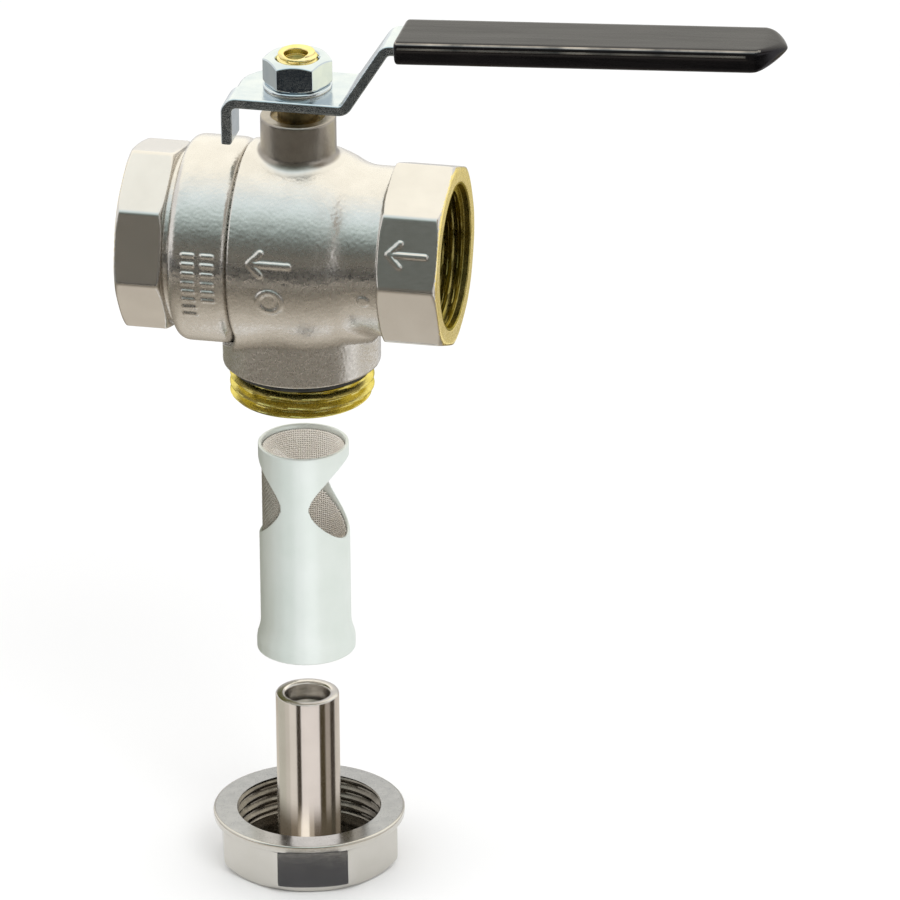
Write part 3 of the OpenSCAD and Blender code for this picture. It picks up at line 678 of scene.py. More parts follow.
neck_corners = [
    (NECK_BORE_R + 0.02, NECK_Z + 0.3), (NECK_BORE_R + 0.02, NECK_END_Z), (MAJOR_R - 1.0, NECK_END_Z),
    (MAJOR_R, NECK_END_Z + 1.0), (MAJOR_R, NECK_Z - UNDERCUT_L), (MINOR_R, NECK_Z - UNDERCUT_L),
    (MINOR_R, NECK_Z + 0.3),
]
neck_loop = dense(rounded(neck_corners, [0, 0.4, 0.2, 0, 0, 0, 0]), SECTION_STEP)
turned("neck_thread", neck_loop, BRASS_Z, "valve_body", cut=neck_cut, steps=192, sharp=THREAD_SHARP)


def socket_cut(r, h, angle):
    """Cuts a socket's thread, which fades out before the web."""
    groove = (MAJOR_R - 0.1 - MINOR_R) * (1 - wave(h, angle))
    fade = np.clip((h - WEB_X - 0.6) / 0.8, 0, 1)
    inside = (r < MOUTH_R + FIT) & (r > MINOR_R - FIT) & (h > WEB_X + 0.5)
    return np.where(inside, np.maximum(r, MINOR_R + groove * fade), r), h


def socket(name, mouth, sign):
    """The brass liner of a socket: a plain lead-in, the thread and the web behind it."""
    lead_r, back = MOUTH_R - 0.25, MOUTH_R + 0.2
    corners = [
        (PORT_R, WEB_X + 0.02), (MINOR_R, WEB_X + 0.02), (MINOR_R, mouth - MOUTH_L - 0.4),
        (lead_r, mouth - MOUTH_L), (lead_r, mouth - 0.27), (MOUTH_R, mouth - 0.02), (back, mouth - 0.02),
        (back, WEB_X - 0.3), (PORT_R, WEB_X - 0.3),
    ]
    loop = dense(rounded(corners, [0.3, 0, 0, 0.2, 0, 0, 0, 0, 0]), 0.19)
    # The liner takes the darkened brass, painted shade in the bore
    turned(
        name, loop, BRASS_BORE_SHADE, "valve_body",
        cut=socket_cut, along="x", sign=sign, steps=176, sharp=THREAD_SHARP
    )


socket("inlet_socket", INLET_X, 1)
socket("outlet_socket", OUTLET_X, -1)

# Cap: flange and octagon from a distance, its bore with the thread turned
CAP_WALL_R = CAP_BORE_R + 1.35
CAP_GROOVE = 1.05
top, floor = CAP_TOP - CAP_TRAVEL, CAP_FLOOR - CAP_TRAVEL


def cap_distance(x, y, z):
    z = z + CAP_TRAVEL
    round_z = np.hypot(x, y)
    flange = soft_max(round_z - FLANGE_R, slab(z, CAP_TOP - FLANGE_T, CAP_TOP), 0.5)
    sides = prism(x, y, CAP_AF, math.radians(CAP_TURN), 0.25)
    bevel = cone_end(round_z, -z, -CAP_BOTTOM, CAP_AF / 2 - 0.5, 1.0)
    head = soft_max(soft_max(sides, bevel, 0.8), slab(z, CAP_BOTTOM, CAP_TOP - 0.5), 0.3)
    solid = soft_min(flange, head, 0.5)
    hollow = both(round_z - CAP_WALL_R, CAP_FLOOR - z)
    hollow = either(hollow, both(round_z - SCREW_HOLE_R, CAP_FLOOR - SCREW_HOLE_L - z))
    return soft_max(solid, -hollow, 0.25)


def cap_kinds(x, y, z):
    return (np.hypot(x, y) < CAP_WALL_R - 0.2) & (z > floor - SCREW_HOLE_L - 0.2)


# The bore's faces take the painted-shade nickel
box, mats = upright(FLANGE_R + 0.05, CAP_BOTTOM - CAP_TRAVEL, top), [CAP_METAL, CAP_BORE_SHADE]
shaped("cap_body", cap_distance, box, 0.3, mats, "cap_set", ["cap"], cap_kinds)


def cap_cut(r, h, angle):
    """Cuts the cap's thread, which fades out above its floor."""
    groove = CAP_GROOVE * (1 - wave(h, angle))
    fade = np.clip((h - floor - 1.2) / 0.8, 0, 1)
    inside = (r < CAP_WALL_R - 0.2) & (r > CAP_BORE_R - FIT) & (h < top - TOUCH)
    return np.where(inside, np.maximum(r, CAP_BORE_R + groove * fade), r), h


# The liner carries the flange's upper face too, a hair above the casting's
face, rim_r, liner_r = top + 0.012, FLANGE_R - 0.55, CAP_WALL_R + 0.3
cap_corners = [
    (CAP_BORE_R, floor + 0.02), (CAP_BORE_R, face - 0.2), (CAP_BORE_R + 0.18, face), (rim_r, face),
    (rim_r, top - 0.3), (liner_r, top - 0.3), (liner_r, floor + 0.02),
]


def on_flange(loop):
    """Which points of the section belong to the flange's face."""
    return (loop[:, 0] > CAP_BORE_R + 0.1) & (loop[:, 1] > top - 0.31)


# Its bore takes the painted-shade nickel, its flange face the plain nickel
turned(
    "cap_thread", dense(cap_corners, SECTION_STEP), [CAP_BORE_SHADE, CAP_FACE], "cap_set",
    cut=cap_cut, steps=192, sharp=THREAD_SHARP, slots_of=on_flange
)

# Magnet sleeve with rounded lip and a small foot
foot = floor + SLEEVE_FOOT_T
lip = floor + SLEEVE_L
sleeve_corners = [
    (SLEEVE_HOLE_R, floor), (SLEEVE_FOOT_R, floor), (SLEEVE_FOOT_R, foot), (SLEEVE_R, foot + 1.5),
    (SLEEVE_R, lip), (SLEEVE_BORE_R, lip), (SLEEVE_BORE_R, foot), (SLEEVE_HOLE_R, foot),
]
sleeve_loop = rounded(sleeve_corners, [0, 0.1, 0.35, 1.6, 0.45, 0.7, 0.2, 0])
turned("magnet_tube", sleeve_loop, TURNED, "cap_set", ["magnet_sleeve"], steps=128)

# Lever nut, washer and stem
NUT_TOP_Z = NUT_Z + NUT_H
NUT_SLOPE = 1.7


def nut_distance(x, y, z):
    radius = np.hypot(x, y)
    sides = prism(x, y, NUT_AF, NUT_TURN, 0.35, 6)
    cone = cone_end(radius, z, NUT_TOP_Z, NUT_AF / 2 - 0.5, NUT_SLOPE)
    foot_cone = cone_end(radius, -z, -NUT_Z, NUT_AF / 2 + 0.1, NUT_SLOPE)
    solid = soft_max(soft_max(sides, both(cone, foot_cone), 0.25), slab(z, NUT_Z, NUT_TOP_Z), 0.25)
    chamfer = (radius - STEM_R - 0.75 + (NUT_TOP_Z - z)) / math.sqrt(2)
    return soft_max(solid, -either(radius - STEM_R - FIT, chamfer), 0.2)


NUT_CORNER_R = 8.2
nut_box = upright(NUT_CORNER_R, NUT_Z, NUT_TOP_Z)
shaped("hex_nut", nut_distance, nut_box, 0.17, ZINC_NUT, "handle", ["lever_nut"])

low, high = NUT_Z - 1, NUT_Z - 0.02
washer_corners = [(STEM_R + FIT, low), (WASHER_R, low), (WASHER_R, high), (STEM_R + FIT, high)]
washer_loop = rounded(washer_corners, [0.1, 0.35, 0.35, 0.1])
turned("spring_washer", washer_loop, ZINC, "handle", ["nut_washer"], steps=112)

STEM_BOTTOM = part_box("stem")[0].z / MM
STEM_THREAD_L, STEM_THREAD_H = 1.25, 0.55
RECESS_Y, RECESS_R, PIT_R = -1.3, 2.7, 2.2


def stem_distance(x, y, z):
    radius = np.hypot(x, y)
    thread = STEM_THREAD_H * wave(z, np.arctan2(y, x), STEM_THREAD_L, 0.15, 0.85)
    shank = radius - STEM_R + np.where(z > NUT_Z, thread, 0)
    dome = (radius - STEM_R + 0.9 + (z - STEM_TOP_Z)) / math.sqrt(2)
    shank = soft_max(shank, dome, 0.7)
    far_inside = -9.0
    flats = np.where((z > PLATE_Z - FIT) & (z < NUT_Z), np.abs(y) - STEM_FLATS / 2, far_inside)
    shank = soft_max(soft_max(shank, flats, 0.15), slab(z, STEM_FLANGE_LOW_Z, STEM_TOP_Z), 0.5)
    seal_groove = both(SEAL_GROOVE_R - radius, np.abs(z - SEAL_GROOVE_Z) - SEAL_GROOVE_HALF)
    shank = both(shank, -seal_groove)
    flange = rod(radius, STEM_FLANGE_R, z, STEM_FLANGE_LOW_Z, STEM_FLANGE_Z)
    tang_end = rod(radius, STEM_FLANGE_R, z, STEM_BOTTOM, STEM_FLANGE_Z)
    tang = both(np.abs(x) - TANG_HALF_L, np.abs(y) - TANG_HALF_W, tang_end)
    off_middle = np.hypot(x, y - RECESS_Y)
    recess = both(off_middle - RECESS_R, STEM_TOP_Z - 1.5 - z)
    pit = np.hypot(off_middle, (z - STEM_TOP_Z + 1.2) * 1.4) - PIT_R
    solid = either(shank, flange, tang)
    return soft_max(solid, -soft_min(recess, pit, 0.4), 0.5)


# Below the plate the stem takes the dark brass: painted shade between the plate and the boss
def stem_kinds(x, y, z):
    in_recess = (np.hypot(x, y - RECESS_Y) < RECESS_R - 0.1) & (slab(STEM_TOP_Z - z, 0.9, 4) < 0)
    # The top recess takes the darkened bore brass: painted shade
    return np.where(in_recess, 2, z < PLATE_Z)


box, mats = upright(STEM_FLANGE_R + 0.1, STEM_BOTTOM, STEM_TOP_Z), [BRASS, BRASS_UNDER_PLATE_SHADE, BRASS_BORE_SHADE]
shaped("valve_stem", stem_distance, box, 0.16, mats, "handle", ["stem"], stem_kinds)


# Lever
TONGUE_L, TAB_RUN, BEND_STEPS = 12.0, 8.0, 24


def bend_path():
    """The strip's middle line in X and Z as fine points, from the tab's end to the tongue."""
    middle = PLATE_Z + STRIP_T / 2
    tab_x = -PLATE_LEFT - STRIP_T / 2
    arm = Vector(ARM_TOP)
    end = arm + Vector((math.cos(GRIP_TILT), math.sin(GRIP_TILT))) * TONGUE_L
    corners = [
        Vector((tab_x, PLATE_Z - TAB_DROP)), Vector((tab_x, middle)), Vector((BEND_X, middle)), arm, end
    ]
    path = [corners[0]]
    for before, here, after in zip(corners, corners[1:], corners[2:]):
        back, on = (before - here).normalized(), (after - here).normalized()
        half = back.angle(on) / 2
        centre = here + (back + on).normalized() * STRIP_R / math.sin(half)
        start, stop = (here + side * STRIP_R / math.tan(half) - centre for side in (back, on))
        path += [centre + arc(start, stop, k / BEND_STEPS) for k in range(BEND_STEPS + 1)]
    path.append(corners[-1])
    path = np.array([tuple(p) for p in path])
    run = np.concatenate(([0], np.cumsum(np.linalg.norm(np.diff(path, axis=0), axis=1))))
    return path, run


strip_path, strip_run = bend_path()


def strip_point(run):
    """Place, direction and upward normal of the strip's middle line at a length along it."""
    near = 0.05
    place, ahead, behind = (
        np.stack([np.interp(run + off, strip_run, strip_path[:, i]) for i in range(2)], -1)
        for off in (0, near, -near)
    )
    way = ahead - behind
    way /= np.linalg.norm(way, axis=-1, keepdims=True)
    return place, way, np.stack((-way[..., 1], way[..., 0]), -1)


def run_at_x(x):
    """Length along the strip where its middle line passes x, past the tab."""
    past_tab = strip_run > TAB_RUN
    return float(np.interp(x, strip_path[past_tab, 0], strip_run[past_tab]))


RUN_LEFT, RUN_BEND, RUN_TOP, RUN_STEM = (run_at_x(x) for x in (-PLATE_LEFT, BEND_X, ARM_TOP[0], 0.0))
RUN_END = float(strip_run[-1])


def blank_outline():
    """The flat blank's corners: length along the strip, and Y."""
    corner = [
        (RUN_LEFT + PLATE_CORNER_R * (1 + math.cos(a)), PLATE_HALF - PLATE_CORNER_R * (1 - math.sin(a)))
        for a in (math.radians(d) for d in range(90, 181, 9))
    ]
    notch_y = -PLATE_HALF + TAB_W
    return [
        (0, -PLATE_HALF), (RUN_BEND, -PLATE_HALF), (RUN_TOP, -TONGUE_HALF), (RUN_END, -TONGUE_HALF),
        (RUN_END, TONGUE_HALF), (RUN_TOP, TONGUE_HALF), (RUN_BEND, PLATE_HALF), *corner, (RUN_LEFT, notch_y),
        (0, notch_y),
    ]


def polygon_distance(u, v, outline):
    best = np.full(np.shape(u), np.inf)
    inside = np.zeros(np.shape(u), bool)
    for i, b in enumerate(outline):
        a = outline[i - 1]
        best = np.minimum(best, segment(u, v, a, b))
        crosses = (a[1] > v) != (b[1] > v)
        at = (b[0] - a[0]) * (v - a[1]) / (b[1] - a[1] + 1e-12) + a[0]
        inside ^= crosses & (u < at)
    return np.where(inside, -best, best)


BLANK = blank_outline()


def blank_distance(u, v, t):
    """The flat blank with the stem's hole; t is the height above its middle."""
    plan = polygon_distance(u, v, BLANK)
    hole = both(np.hypot(u - RUN_STEM, v) - STEM_R - FIT, np.abs(v) - STEM_FLATS / 2 - FIT)
    return soft_max(soft_max(plan, -hole, 0.3), np.abs(t) - STRIP_T / 2, 0.55)


def make_lever():
    """The strip, made as a flat blank and bent along its path; its cut edge has a material of its own."""
    half, edge_slope = STRIP_T / 2, 0.45
    points, quads, normals = surface(
        blank_distance, (0, -PLATE_HALF, -half), (RUN_END, PLATE_HALF, half), 0.28
    )
    place, way, rise = strip_point(points[:, 0])
    moved = place + rise * points[:, 2:]
    tilted = way * normals[:, :1] + rise * normals[:, 2:]
    bent = np.stack((moved[:, 0], points[:, 1], moved[:, 1]), -1)
    bent_normals = np.stack((tilted[:, 0], normals[:, 1], tilted[:, 1]), -1)
    kind = (np.abs(normals[quads].mean(1)[:, 2]) < edge_slope).astype(int)
    mats = [ZINC, ZINC_EDGE]
    return piece(
        "lever_strip", bent, quads, mats, "handle", ["lever"], bent_normals, slots_of=kind
    )


lever_strip = make_lever()


def back_tab_distance(x, y, z):
    """The narrow stop tab behind the boss: out of the plate's edge, round a bend and down."""
    half = STRIP_T / 2
    width = np.abs(x - BACK_TAB_X) - BACK_TAB_HALF
    turn_y, turn_z = 9.6, PLATE_Z - 0.1
    arm_part = both(np.abs(z - PLATE_Z - half) - half, slab(y, BACK_TAB_START, turn_y))
    drop = both(np.abs(y - BACK_TAB_Y) - half, slab(z, PLATE_Z - TAB_DROP, turn_z))
    off_bend = np.hypot(y - turn_y, z - turn_z) - (BACK_TAB_Y - turn_y)
    bend = both(np.abs(off_bend) - half, turn_y - y, turn_z - z)
    return soft_max(either(arm_part, drop, bend), width, 0.4)


low = (BACK_TAB_X - BACK_TAB_HALF - 0.1, BACK_TAB_START - 0.2, PLATE_Z - TAB_DROP)
high = (BACK_TAB_X + BACK_TAB_HALF + 0.1, BACK_TAB_Y + STRIP_T / 2 + 0.1, PLATE_Z + STRIP_T)
shaped("lever_back_tab", back_tab_distance, (low, high), 0.2, ZINC, "handle")

# Grip, which starts later and reaches lower than the CAD's, inside the CAD's box
GRIP_END = GRIP_START + GRIP_L
GRIP_LATE, GRIP_LOWER = 1.2, 0.35
RIDGE_T, RIDGE_R = 0.95, 0.36


def grip_distance(s, y, t):
    """The dipped grip in its own frame: s along it, t upwards."""
    nose_l, nose_r, power = 6.5, 5.5, 1.4
    tip_t, tip_half, taper = 0.5, 0.6, 0.55
    past = np.maximum(s - GRIP_END + nose_l, 0) / nose_l
    plan = (((np.abs(y) * 2 / GRIP_W) ** power + past**power) ** (1 / power) - 1) * nose_r
    body = soft_max(plan, slab(t, -GRIP_T / 2 - GRIP_LOWER, GRIP_T / 2), 1.2)
    body = soft_max(body, GRIP_START + GRIP_LATE - s, 1.0)
    thin = (np.abs(t - tip_t) - tip_half - taper * (GRIP_END - s)) / math.hypot(1, taper)
    ridge = np.hypot(np.abs(y) - GRIP_W / 2 + 0.2, t - RIDGE_T) - RIDGE_R
    ridge = soft_max(ridge, slab(s, 3.0, GRIP_END - 8.0), 0.4)
    solid = soft_min(soft_max(body, thin, 1.5), ridge, 0.3)
    pocket = both(np.abs(y) - TONGUE_HALF - FIT, np.abs(t) - STRIP_T / 2 - FIT, s - TONGUE_L + 0.5)
    return soft_max(solid, -pocket, 0.4)


def make_grip():
    """The grip, with a painted highlight along its upper edge and on its ridge: faces there take a grey,
    nearly metallic vinyl.
    """
    low, high = (GRIP_START, -GRIP_W / 2, -GRIP_T / 2 - 0.4), (GRIP_END, GRIP_W / 2, GRIP_T / 2)
    points, quads, normals = surface(grip_distance, low, high, 0.3)
    s, y, t = points[quads].mean(1).T
    facing = normals[quads].mean(1)
    level, up = np.hypot(facing[:, 0], facing[:, 1]), facing[:, 2]
    # Painted highlight: this band of faces takes the reflective grey vinyl
    highlight_band = (up > 0) & (level > 0.34) & (level < 0.72) & (t > 1.2) & (s < GRIP_END - 5.0)
    highlight_band |= (up > 0.3) & (np.abs(t - RIDGE_T - 0.15) < 0.35) & (np.abs(y) > GRIP_W / 2 - 0.3)
    tilt = np.array(Matrix.Rotation(-GRIP_TILT, 3, "Y"))
    points = points @ tilt.T + [ARM_TOP[0], 0, ARM_TOP[1]]
    return piece(
        "grip_sleeve", points, quads, [VINYL, VINYL_PAINTED_HIGHLIGHT], "handle", ["lever_grip"],
        normals @ tilt.T, slots_of=highlight_band.astype(int)
    )


# The photograph shows no reflection of the lever
for part in (lever_strip, make_grip()):
    part.visible_glossy = False


# Filter
def filter_distance(x, y, z):
    """The filter's tube with its flared foot and two round windows."""
    z = z + FILTER_TRAVEL
    radius = np.hypot(x, y)
    lip_z = FILTER_BOTTOM + LIP_L
    heights = (FILTER_BOTTOM, lip_z + 1.5, lip_z + FLARE_L / 2 + 0.6, lip_z + FLARE_L - 0.4, FILTER_TOP)
    radii = (FOOT_R, FOOT_R, FILTER_R + 0.35, FILTER_R, FILTER_R)
    spread = (-0.6, 0, 0.6)
    outside = sum(np.interp(z + s, heights, radii) for s in spread) / len(spread)
    wall = soft_max(radius - outside, FILTER_BORE_R - radius, 0.25)
    tube = soft_max(wall, slab(z, FILTER_BOTTOM, FILTER_TOP), 0.35)
    window = np.hypot(y, z) - WINDOW_R
    return soft_max(tube, -window, 0.35)


box = upright(FOOT_R, FILTER_BOTTOM - FILTER_TRAVEL, FILTER_TOP - FILTER_TRAVEL)
shaped("filter_tube", filter_distance, box, 0.24, SATIN, "filter_set", ["filter_frame"])


def tubes(runs, thick, sides=4):
    """Thin wires along runs of points with their outward directions, and which faces look inwards."""
    points, faces, inward = [], [], []
    for run, out in runs:
        way = np.gradient(run, axis=0)
        way /= np.linalg.norm(way, axis=1, keepdims=True)
        across = np.cross(way, out)
        ring = [
            run + thick * (out * math.cos(a) + across * math.sin(a))
            for a in (2 * math.pi * k / sides for k in range(sides))
        ]
        start = sum(len(p) for p in points)
        points.append(np.stack(ring, 1).reshape(-1, 3))
        for i in range(len(run) - 1):
            a = start + i * sides
            faces += [
                (a + k, a + (k + 1) % sides, a + sides + (k + 1) % sides, a + sides + k) for k in range(sides)
            ]
            inward += [int(sides / 4 <= k < 3 * sides / 4) for k in range(sides)]
        faces.append(tuple(start + k for k in reversed(range(sides))))
        faces.append(tuple(start + (len(run) - 1) * sides + k for k in range(sides)))
        inward += [0, 0]
    return np.concatenate(points), faces, inward


def make_mesh():
    """Woven wire: upright wires and rings that pass over and under each other, open at the +X window."""
    count, thick, lift = 112, 0.19, 0.10
    pitch = 2 * math.pi * MESH_R / count
    low, high = FILTER_BOTTOM + 0.3, FILTER_TOP - 1.0
    rings = int((high - low) / pitch)
    runs = []

    def add(points, outs):
        keep = ~((points[:, 0] > 0) & (np.hypot(points[:, 1], points[:, 2]) < WINDOW_R + 0.1))
        cuts = np.flatnonzero(np.diff(keep.astype(int))) + 1
        for part, flag in zip(np.split(np.arange(len(points)), cuts), np.split(keep, cuts)):
            if flag[0] and len(part) > 3:
                runs.append((points[part] + [0, 0, -FILTER_TRAVEL], outs[part]))

    for i in range(count):
        angle = 2 * math.pi * i / count
        z = np.arange(low, high, pitch / 3)
        r = MESH_R + lift * np.cos(math.pi * (z - low) / pitch + math.pi * i)
        out = np.tile([math.cos(angle), math.sin(angle), 0], (len(z), 1))
        add(out * r[:, None] + np.stack((0 * z, 0 * z, z), -1), out)
    for j in range(rings + 1):
        angle = np.linspace(0, 2 * math.pi, count * 3 + 1)
        r = MESH_R - lift * np.cos(count / 2 * angle + math.pi * j)
        out = np.stack((np.cos(angle), np.sin(angle), 0 * angle), -1)
        add(out * r[:, None] + [0, 0, low + j * pitch], out)
    points, faces, inward = tubes(runs, thick)
    # Inner faces take the painted-light copy of the wire
    mats = [WIRE, WIRE_INSIDE_PAINTED_LIGHT]
    piece(
        "woven_mesh", points, faces, mats, "filter_set", ["filter_mesh"], sharp=70,
        slots_of=inward
    )


make_mesh()

# Nodes that keep their shape
# The gland ring takes the dark brass that paints the shade under the plate
for name, mat in {
    "ball": CHROME, "body_seal": PTFE, "seat_inlet": PTFE, "seat_outlet": PTFE, "thrust_washer": PTFE,
    "packing_ring": PTFE, "stem_seal": RUBBER, "cap_seal": RUBBER, "gland_ring": BRASS_UNDER_PLATE_SHADE,
    "ring_magnets": CHROME, "magnet_screw": CAP_METAL,
}.items():
    data = frame["nodes"][name].data
    data.materials.clear()
    data.materials.append(mat)

# Floor, backdrop and light
FLOOR_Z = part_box("cap")[0].z - 0.0002
CARD_STEP = 0.0005


def stage(name, points, faces, mat):
    """A panel that belongs to the set and not to the object; its points are in metres."""
    mesh = bpy.data.meshes.new(name)
    mesh.from_pydata(points, [], faces)
    mesh.materials.append(mat)
    panel = bpy.data.objects.new(name, mesh)
    scene.collection.objects.link(panel)
    return panel


def floor_material():
    mat, tree, bsdf = shader("paper_floor")
    tone = mix_colour(tree, noise(tree, 400, 3.0), (0.93, 0.93, 0.93), (0.96, 0.96, 0.955))
    put(bsdf, {"Base Color": tone}, Roughness=0.9, Specular_IOR_Level=0.1)
    return mat


FLOOR_HALF = 4.0
floor_corners = [(x * FLOOR_HALF, y * FLOOR_HALF, FLOOR_Z) for x, y in ((-1, -1), (1, -1), (1, 1), (-1, 1))]
stage("floor", floor_corners, [(0, 1, 2, 3)], floor_material())


def card(name, points, faces, tone, foot=None):
    """A glowing card that only reflections see: it paints a reflection of its tone onto the metal, as a
    photographer's card would.

    foot is (tone, low, high): the tone at the card's foot and the heights between which it fades.
    """
    mat, tree, bsdf = shader(name + "_tone")
    tree.nodes.remove(bsdf)
    emit = node(tree, "ShaderNodeEmission", Strength=1.0)
    emit.inputs["Color"].default_value = (*tone, 1)
    if foot:
        split = node(tree, "ShaderNodeSeparateXYZ", {"Vector": place_in(tree)})
        part = between(tree, split.outputs["Z"], 0, 1, *foot[1:])
        tree.links.new(mix_colour(tree, part, foot[0], tone), emit.inputs["Color"])
    tree.links.new(emit.outputs["Emission"], tree.nodes["Material Output"].inputs["Surface"])
    mat.cycles.emission_sampling = "NONE"
    panel = stage(name, points, faces, mat)
    panel.visible_camera = panel.visible_diffuse = panel.visible_shadow = panel.visible_transmission = False


def bent_card(name, around, line, tone, steps=8, foot=None):
    """A card bent between two angles in degrees; line(angle) gives the two points where it ends."""
    turns = [math.radians(around[0] + (around[1] - around[0]) * k / steps) for k in range(steps + 1)]
    points = [point for turn in turns for point in line(turn)]
    faces = [(2 * k, 2 * k + 1, 2 * k + 3, 2 * k + 2) for k in range(steps)]
    card(name, points, faces, tone, foot)


def arch(name, around, tone, reach=1.7):
    """A card bent about the X axis between two angles, in degrees up from the front."""
    bent_card(
        name, around, lambda t: [(x, -reach * math.cos(t), reach * math.sin(t)) for x in (-reach, reach)],
        tone
    )


def sector(name, around, reach, level, tone, steps=12):
    """A card on the floor: part of a ring round the valve's axis, in degrees from the front and metres."""
    z = FLOOR_Z + CARD_STEP * level
    bent_card(name, around, lambda t: [(r * math.sin(t), -r * math.cos(t), z) for r in reach], tone, steps)


def screen(name, around, reach, heights, tone, foot=None):
    """A standing card: part of an upright cylinder round the valve's axis."""
    bent_card(
        name, around, lambda t: [(reach * math.sin(t), -reach * math.cos(t), z) for z in heights], tone,
        foot=foot
    )


# Painted reflections: bands of glowing cards round the valve give the metal its lighter and darker reflected
# bands
ARCHES = (
    (-5, 10, (0.215, 0.20, 0.17)), (10, 20, (0.13, 0.13, 0.115)), (20, 29, (0.16, 0.18, 0.17)),
    (29, 36, (0.28, 0.34, 0.33)), (36, 43, (0.46, 0.55, 0.55)), (43, 50, (0.63, 0.75, 0.75)),
    (50, 58, (0.82, 0.97, 0.99)), (58, 76, (0.96, 1.10, 1.16)), (76, 94, (1.20, 1.24, 1.21)),
    (94, 176, (1.40, 1.37, 1.24)),
)
for start, end, tone in ARCHES:
    arch(f"card_arch_{start}", (start, end), tone)
# Glowing rings and sectors on the floor paint reflections into single parts: the body's lower faces, the
# boss, the nut and the cap's front flat
UNDER_RINGS = (
    (0.047, 0.095, (0.71, 0.66, 0.58)), (0.095, 0.125, (0.54, 0.50, 0.43)), (0.125, 0.20, (0.42, 0.38, 0.32)),
    (0.20, 0.25, (0.20, 0.18, 0.145)),
)
for start, end, tone in UNDER_RINGS:
    sector(f"card_under_{start:.3f}", (-180, 180), (start, end), 1, tone, 36)
sector("card_table", (-75, 75), (0.25, 0.33), 2, (0.17, 0.155, 0.13))
sector("card_table_far", (-80, 80), (0.33, 1.7), 2, (0.020, 0.023, 0.027))
sector("card_table_boss", (-80, 80), (0.35, 0.412), 3, (1.03, 0.95, 0.83))
sector("card_left", (-150, -75), (0.25, 0.33), 2, (0.26, 0.25, 0.19))
sector("card_left_boss", (-150, -80), (0.33, 0.422), 2, (0.16, 0.15, 0.13))
sector("card_left_nut", (-150, -95), (0.422, 0.60), 2, (0.50, 0.50, 0.48))
sector("card_right_nut", (95, 160), (0.43, 0.65), 2, (1.25, 1.22, 0.98))
sector("card_right", (100, 170), (0.31, 0.43), 2, (0.42, 0.36, 0.28))
sector("card_cap", (-8, 39), (0.0215, 0.044), 1, (0.105, 0.107, 0.118))
# Painted reflections on the magnet rod: glowing screens close round it, each with its tone and a tone at its
# foot, paint its upright streaks
ROD_SCREENS = (
    (-90, -53, (0.58, 0.57, 0.50), (0.13, 0.11, 0.08)), (-53, -38, (0.66, 0.63, 0.57), (0.13, 0.11, 0.08)),
    (-38, -17, (0.82, 0.78, 0.72), (0.22, 0.18, 0.13)), (-17, -9, (0.04, 0.03, 0.02), (0.50, 0.44, 0.35)),
    (-9, -5, (0.04, 0.03, 0.02), (1.20, 1.12, 1.00)), (-5, 13, (0.92, 0.87, 0.84), (1.25, 1.17, 1.04)),
    (13, 26, (0.92, 0.87, 0.84), (0.50, 0.44, 0.36)), (26, 44, (0.92, 0.87, 0.84), (0.16, 0.13, 0.10)),
    (44, 61, (0.07, 0.055, 0.03), (0.12, 0.10, 0.07)), (61, 78, (0.42, 0.38, 0.33), (0.12, 0.10, 0.07)),
    (78, 98, (0.06, 0.05, 0.04), (0.08, 0.07, 0.05)), (98, 133, (0.70, 0.66, 0.60), (0.20, 0.17, 0.13)),
)
ROD_REACH, ROD_HEIGHTS, ROD_FOOT = 0.0135, (-0.1535, -0.112), (-0.1475, -0.1415)
for start, end, tone, low_tone in ROD_SCREENS:
    screen(f"screen_rod_{start}", (start, end), ROD_REACH, ROD_HEIGHTS, tone, (low_tone, *ROD_FOOT))
# Painted reflections on the filter: glowing screens close round it paint its dark left side and its light
# middle
FILTER_SCREENS = (
    (-160, -75, (0.10, 0.10, 0.03)), (-75, -50, (0.24, 0.24, 0.17)), (-50, -28, (0.42, 0.45, 0.41)),
    (-28, -5, (0.60, 0.66, 0.63)), (-5, 12, (0.90, 0.94, 0.94)), (12, 34, (1.10, 1.14, 1.14)),
    (34, 145, (0.90, 0.94, 0.91)),
)
FILTER_REACH, FILTER_HEIGHTS = 0.0165, (-0.108, -0.050)
for start, end, tone in FILTER_SCREENS:
    screen(f"screen_filter_{start}", (start, end), FILTER_REACH, FILTER_HEIGHTS, tone)


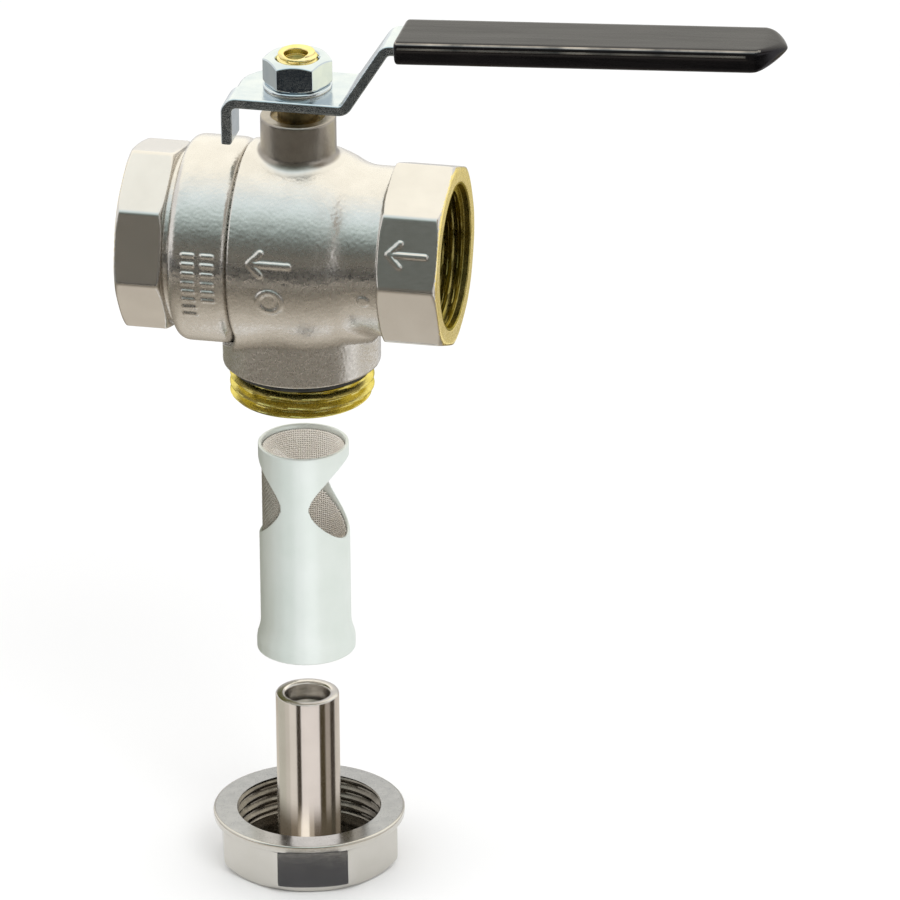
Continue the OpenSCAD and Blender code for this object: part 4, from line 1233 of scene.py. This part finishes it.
def corners_of(low, high):
    """The corners of a rectangle in a plane, in order."""
    return [(low[0], low[1]), (high[0], low[1]), (high[0], high[1]), (low[0], high[1])]


SIDE_X, BACK_Y = 1.2, 0.2
# Two more glowing cards paint reflections: a warm tone at the side, a grey one in the cap's flange
side_corners = [(SIDE_X, y, z) for y, z in corners_of((-0.9, 0.35), (0.1, 1.4))]
card("card_side", side_corners, [(0, 1, 2, 3)], (0.40, 0.35, 0.30))
flange_corners = [(x, BACK_Y, z) for x, z in corners_of((-0.18, -0.12), (0.10, -0.005))]
card("card_flange", flange_corners, [(0, 1, 2, 3)], (0.60, 0.60, 0.60))


def world():
    made = bpy.data.worlds.new("studio")
    scene.world = made
    made.use_nodes = True
    background = made.node_tree.nodes["Background"].inputs
    background["Color"].default_value = (1.0, 1.0, 1.0, 1)
    background["Strength"].default_value = 1.0


world()


def softbox(name, place, aim, size, power, tone):
    """A lamp that lights the object and isn't seen in reflections."""
    data = bpy.data.lights.new(name, "AREA")
    data.shape = "RECTANGLE"
    data.size, data.size_y = size
    data.energy = power
    data.color = tone
    lamp = bpy.data.objects.new(name, data)
    lamp.location = place
    lamp.rotation_euler = (Vector(aim) - Vector(place)).to_track_quat("-Z", "Y").to_euler()
    lamp.visible_glossy = False
    scene.collection.objects.link(lamp)


softbox("key", (0.8, -1.0, 1.3), aim=(0, 0, -0.03), size=(0.8, 0.8), power=7.0, tone=(0.98, 0.99, 1.0))
softbox("fill_left", (-1.5, -0.3, 0.8), aim=(0, 0, -0.05), size=(0.6, 1.0), power=1.5, tone=(1.0, 0.97, 0.93))

# The valve shades the filter below it, which the photograph's separate views don't show
fill = bpy.data.lights.new("filter_fill", "AREA")
fill.shape, fill.size, fill.energy = "DISK", 0.008, 0.0006
fill_lamp = bpy.data.objects.new("filter_fill", fill)
fill_lamp.location = (0.001, 0.003, -0.040)
fill_lamp.visible_camera = fill_lamp.visible_glossy = False
scene.collection.objects.link(fill_lamp)

# End
scene.view_settings.view_transform = "Standard"
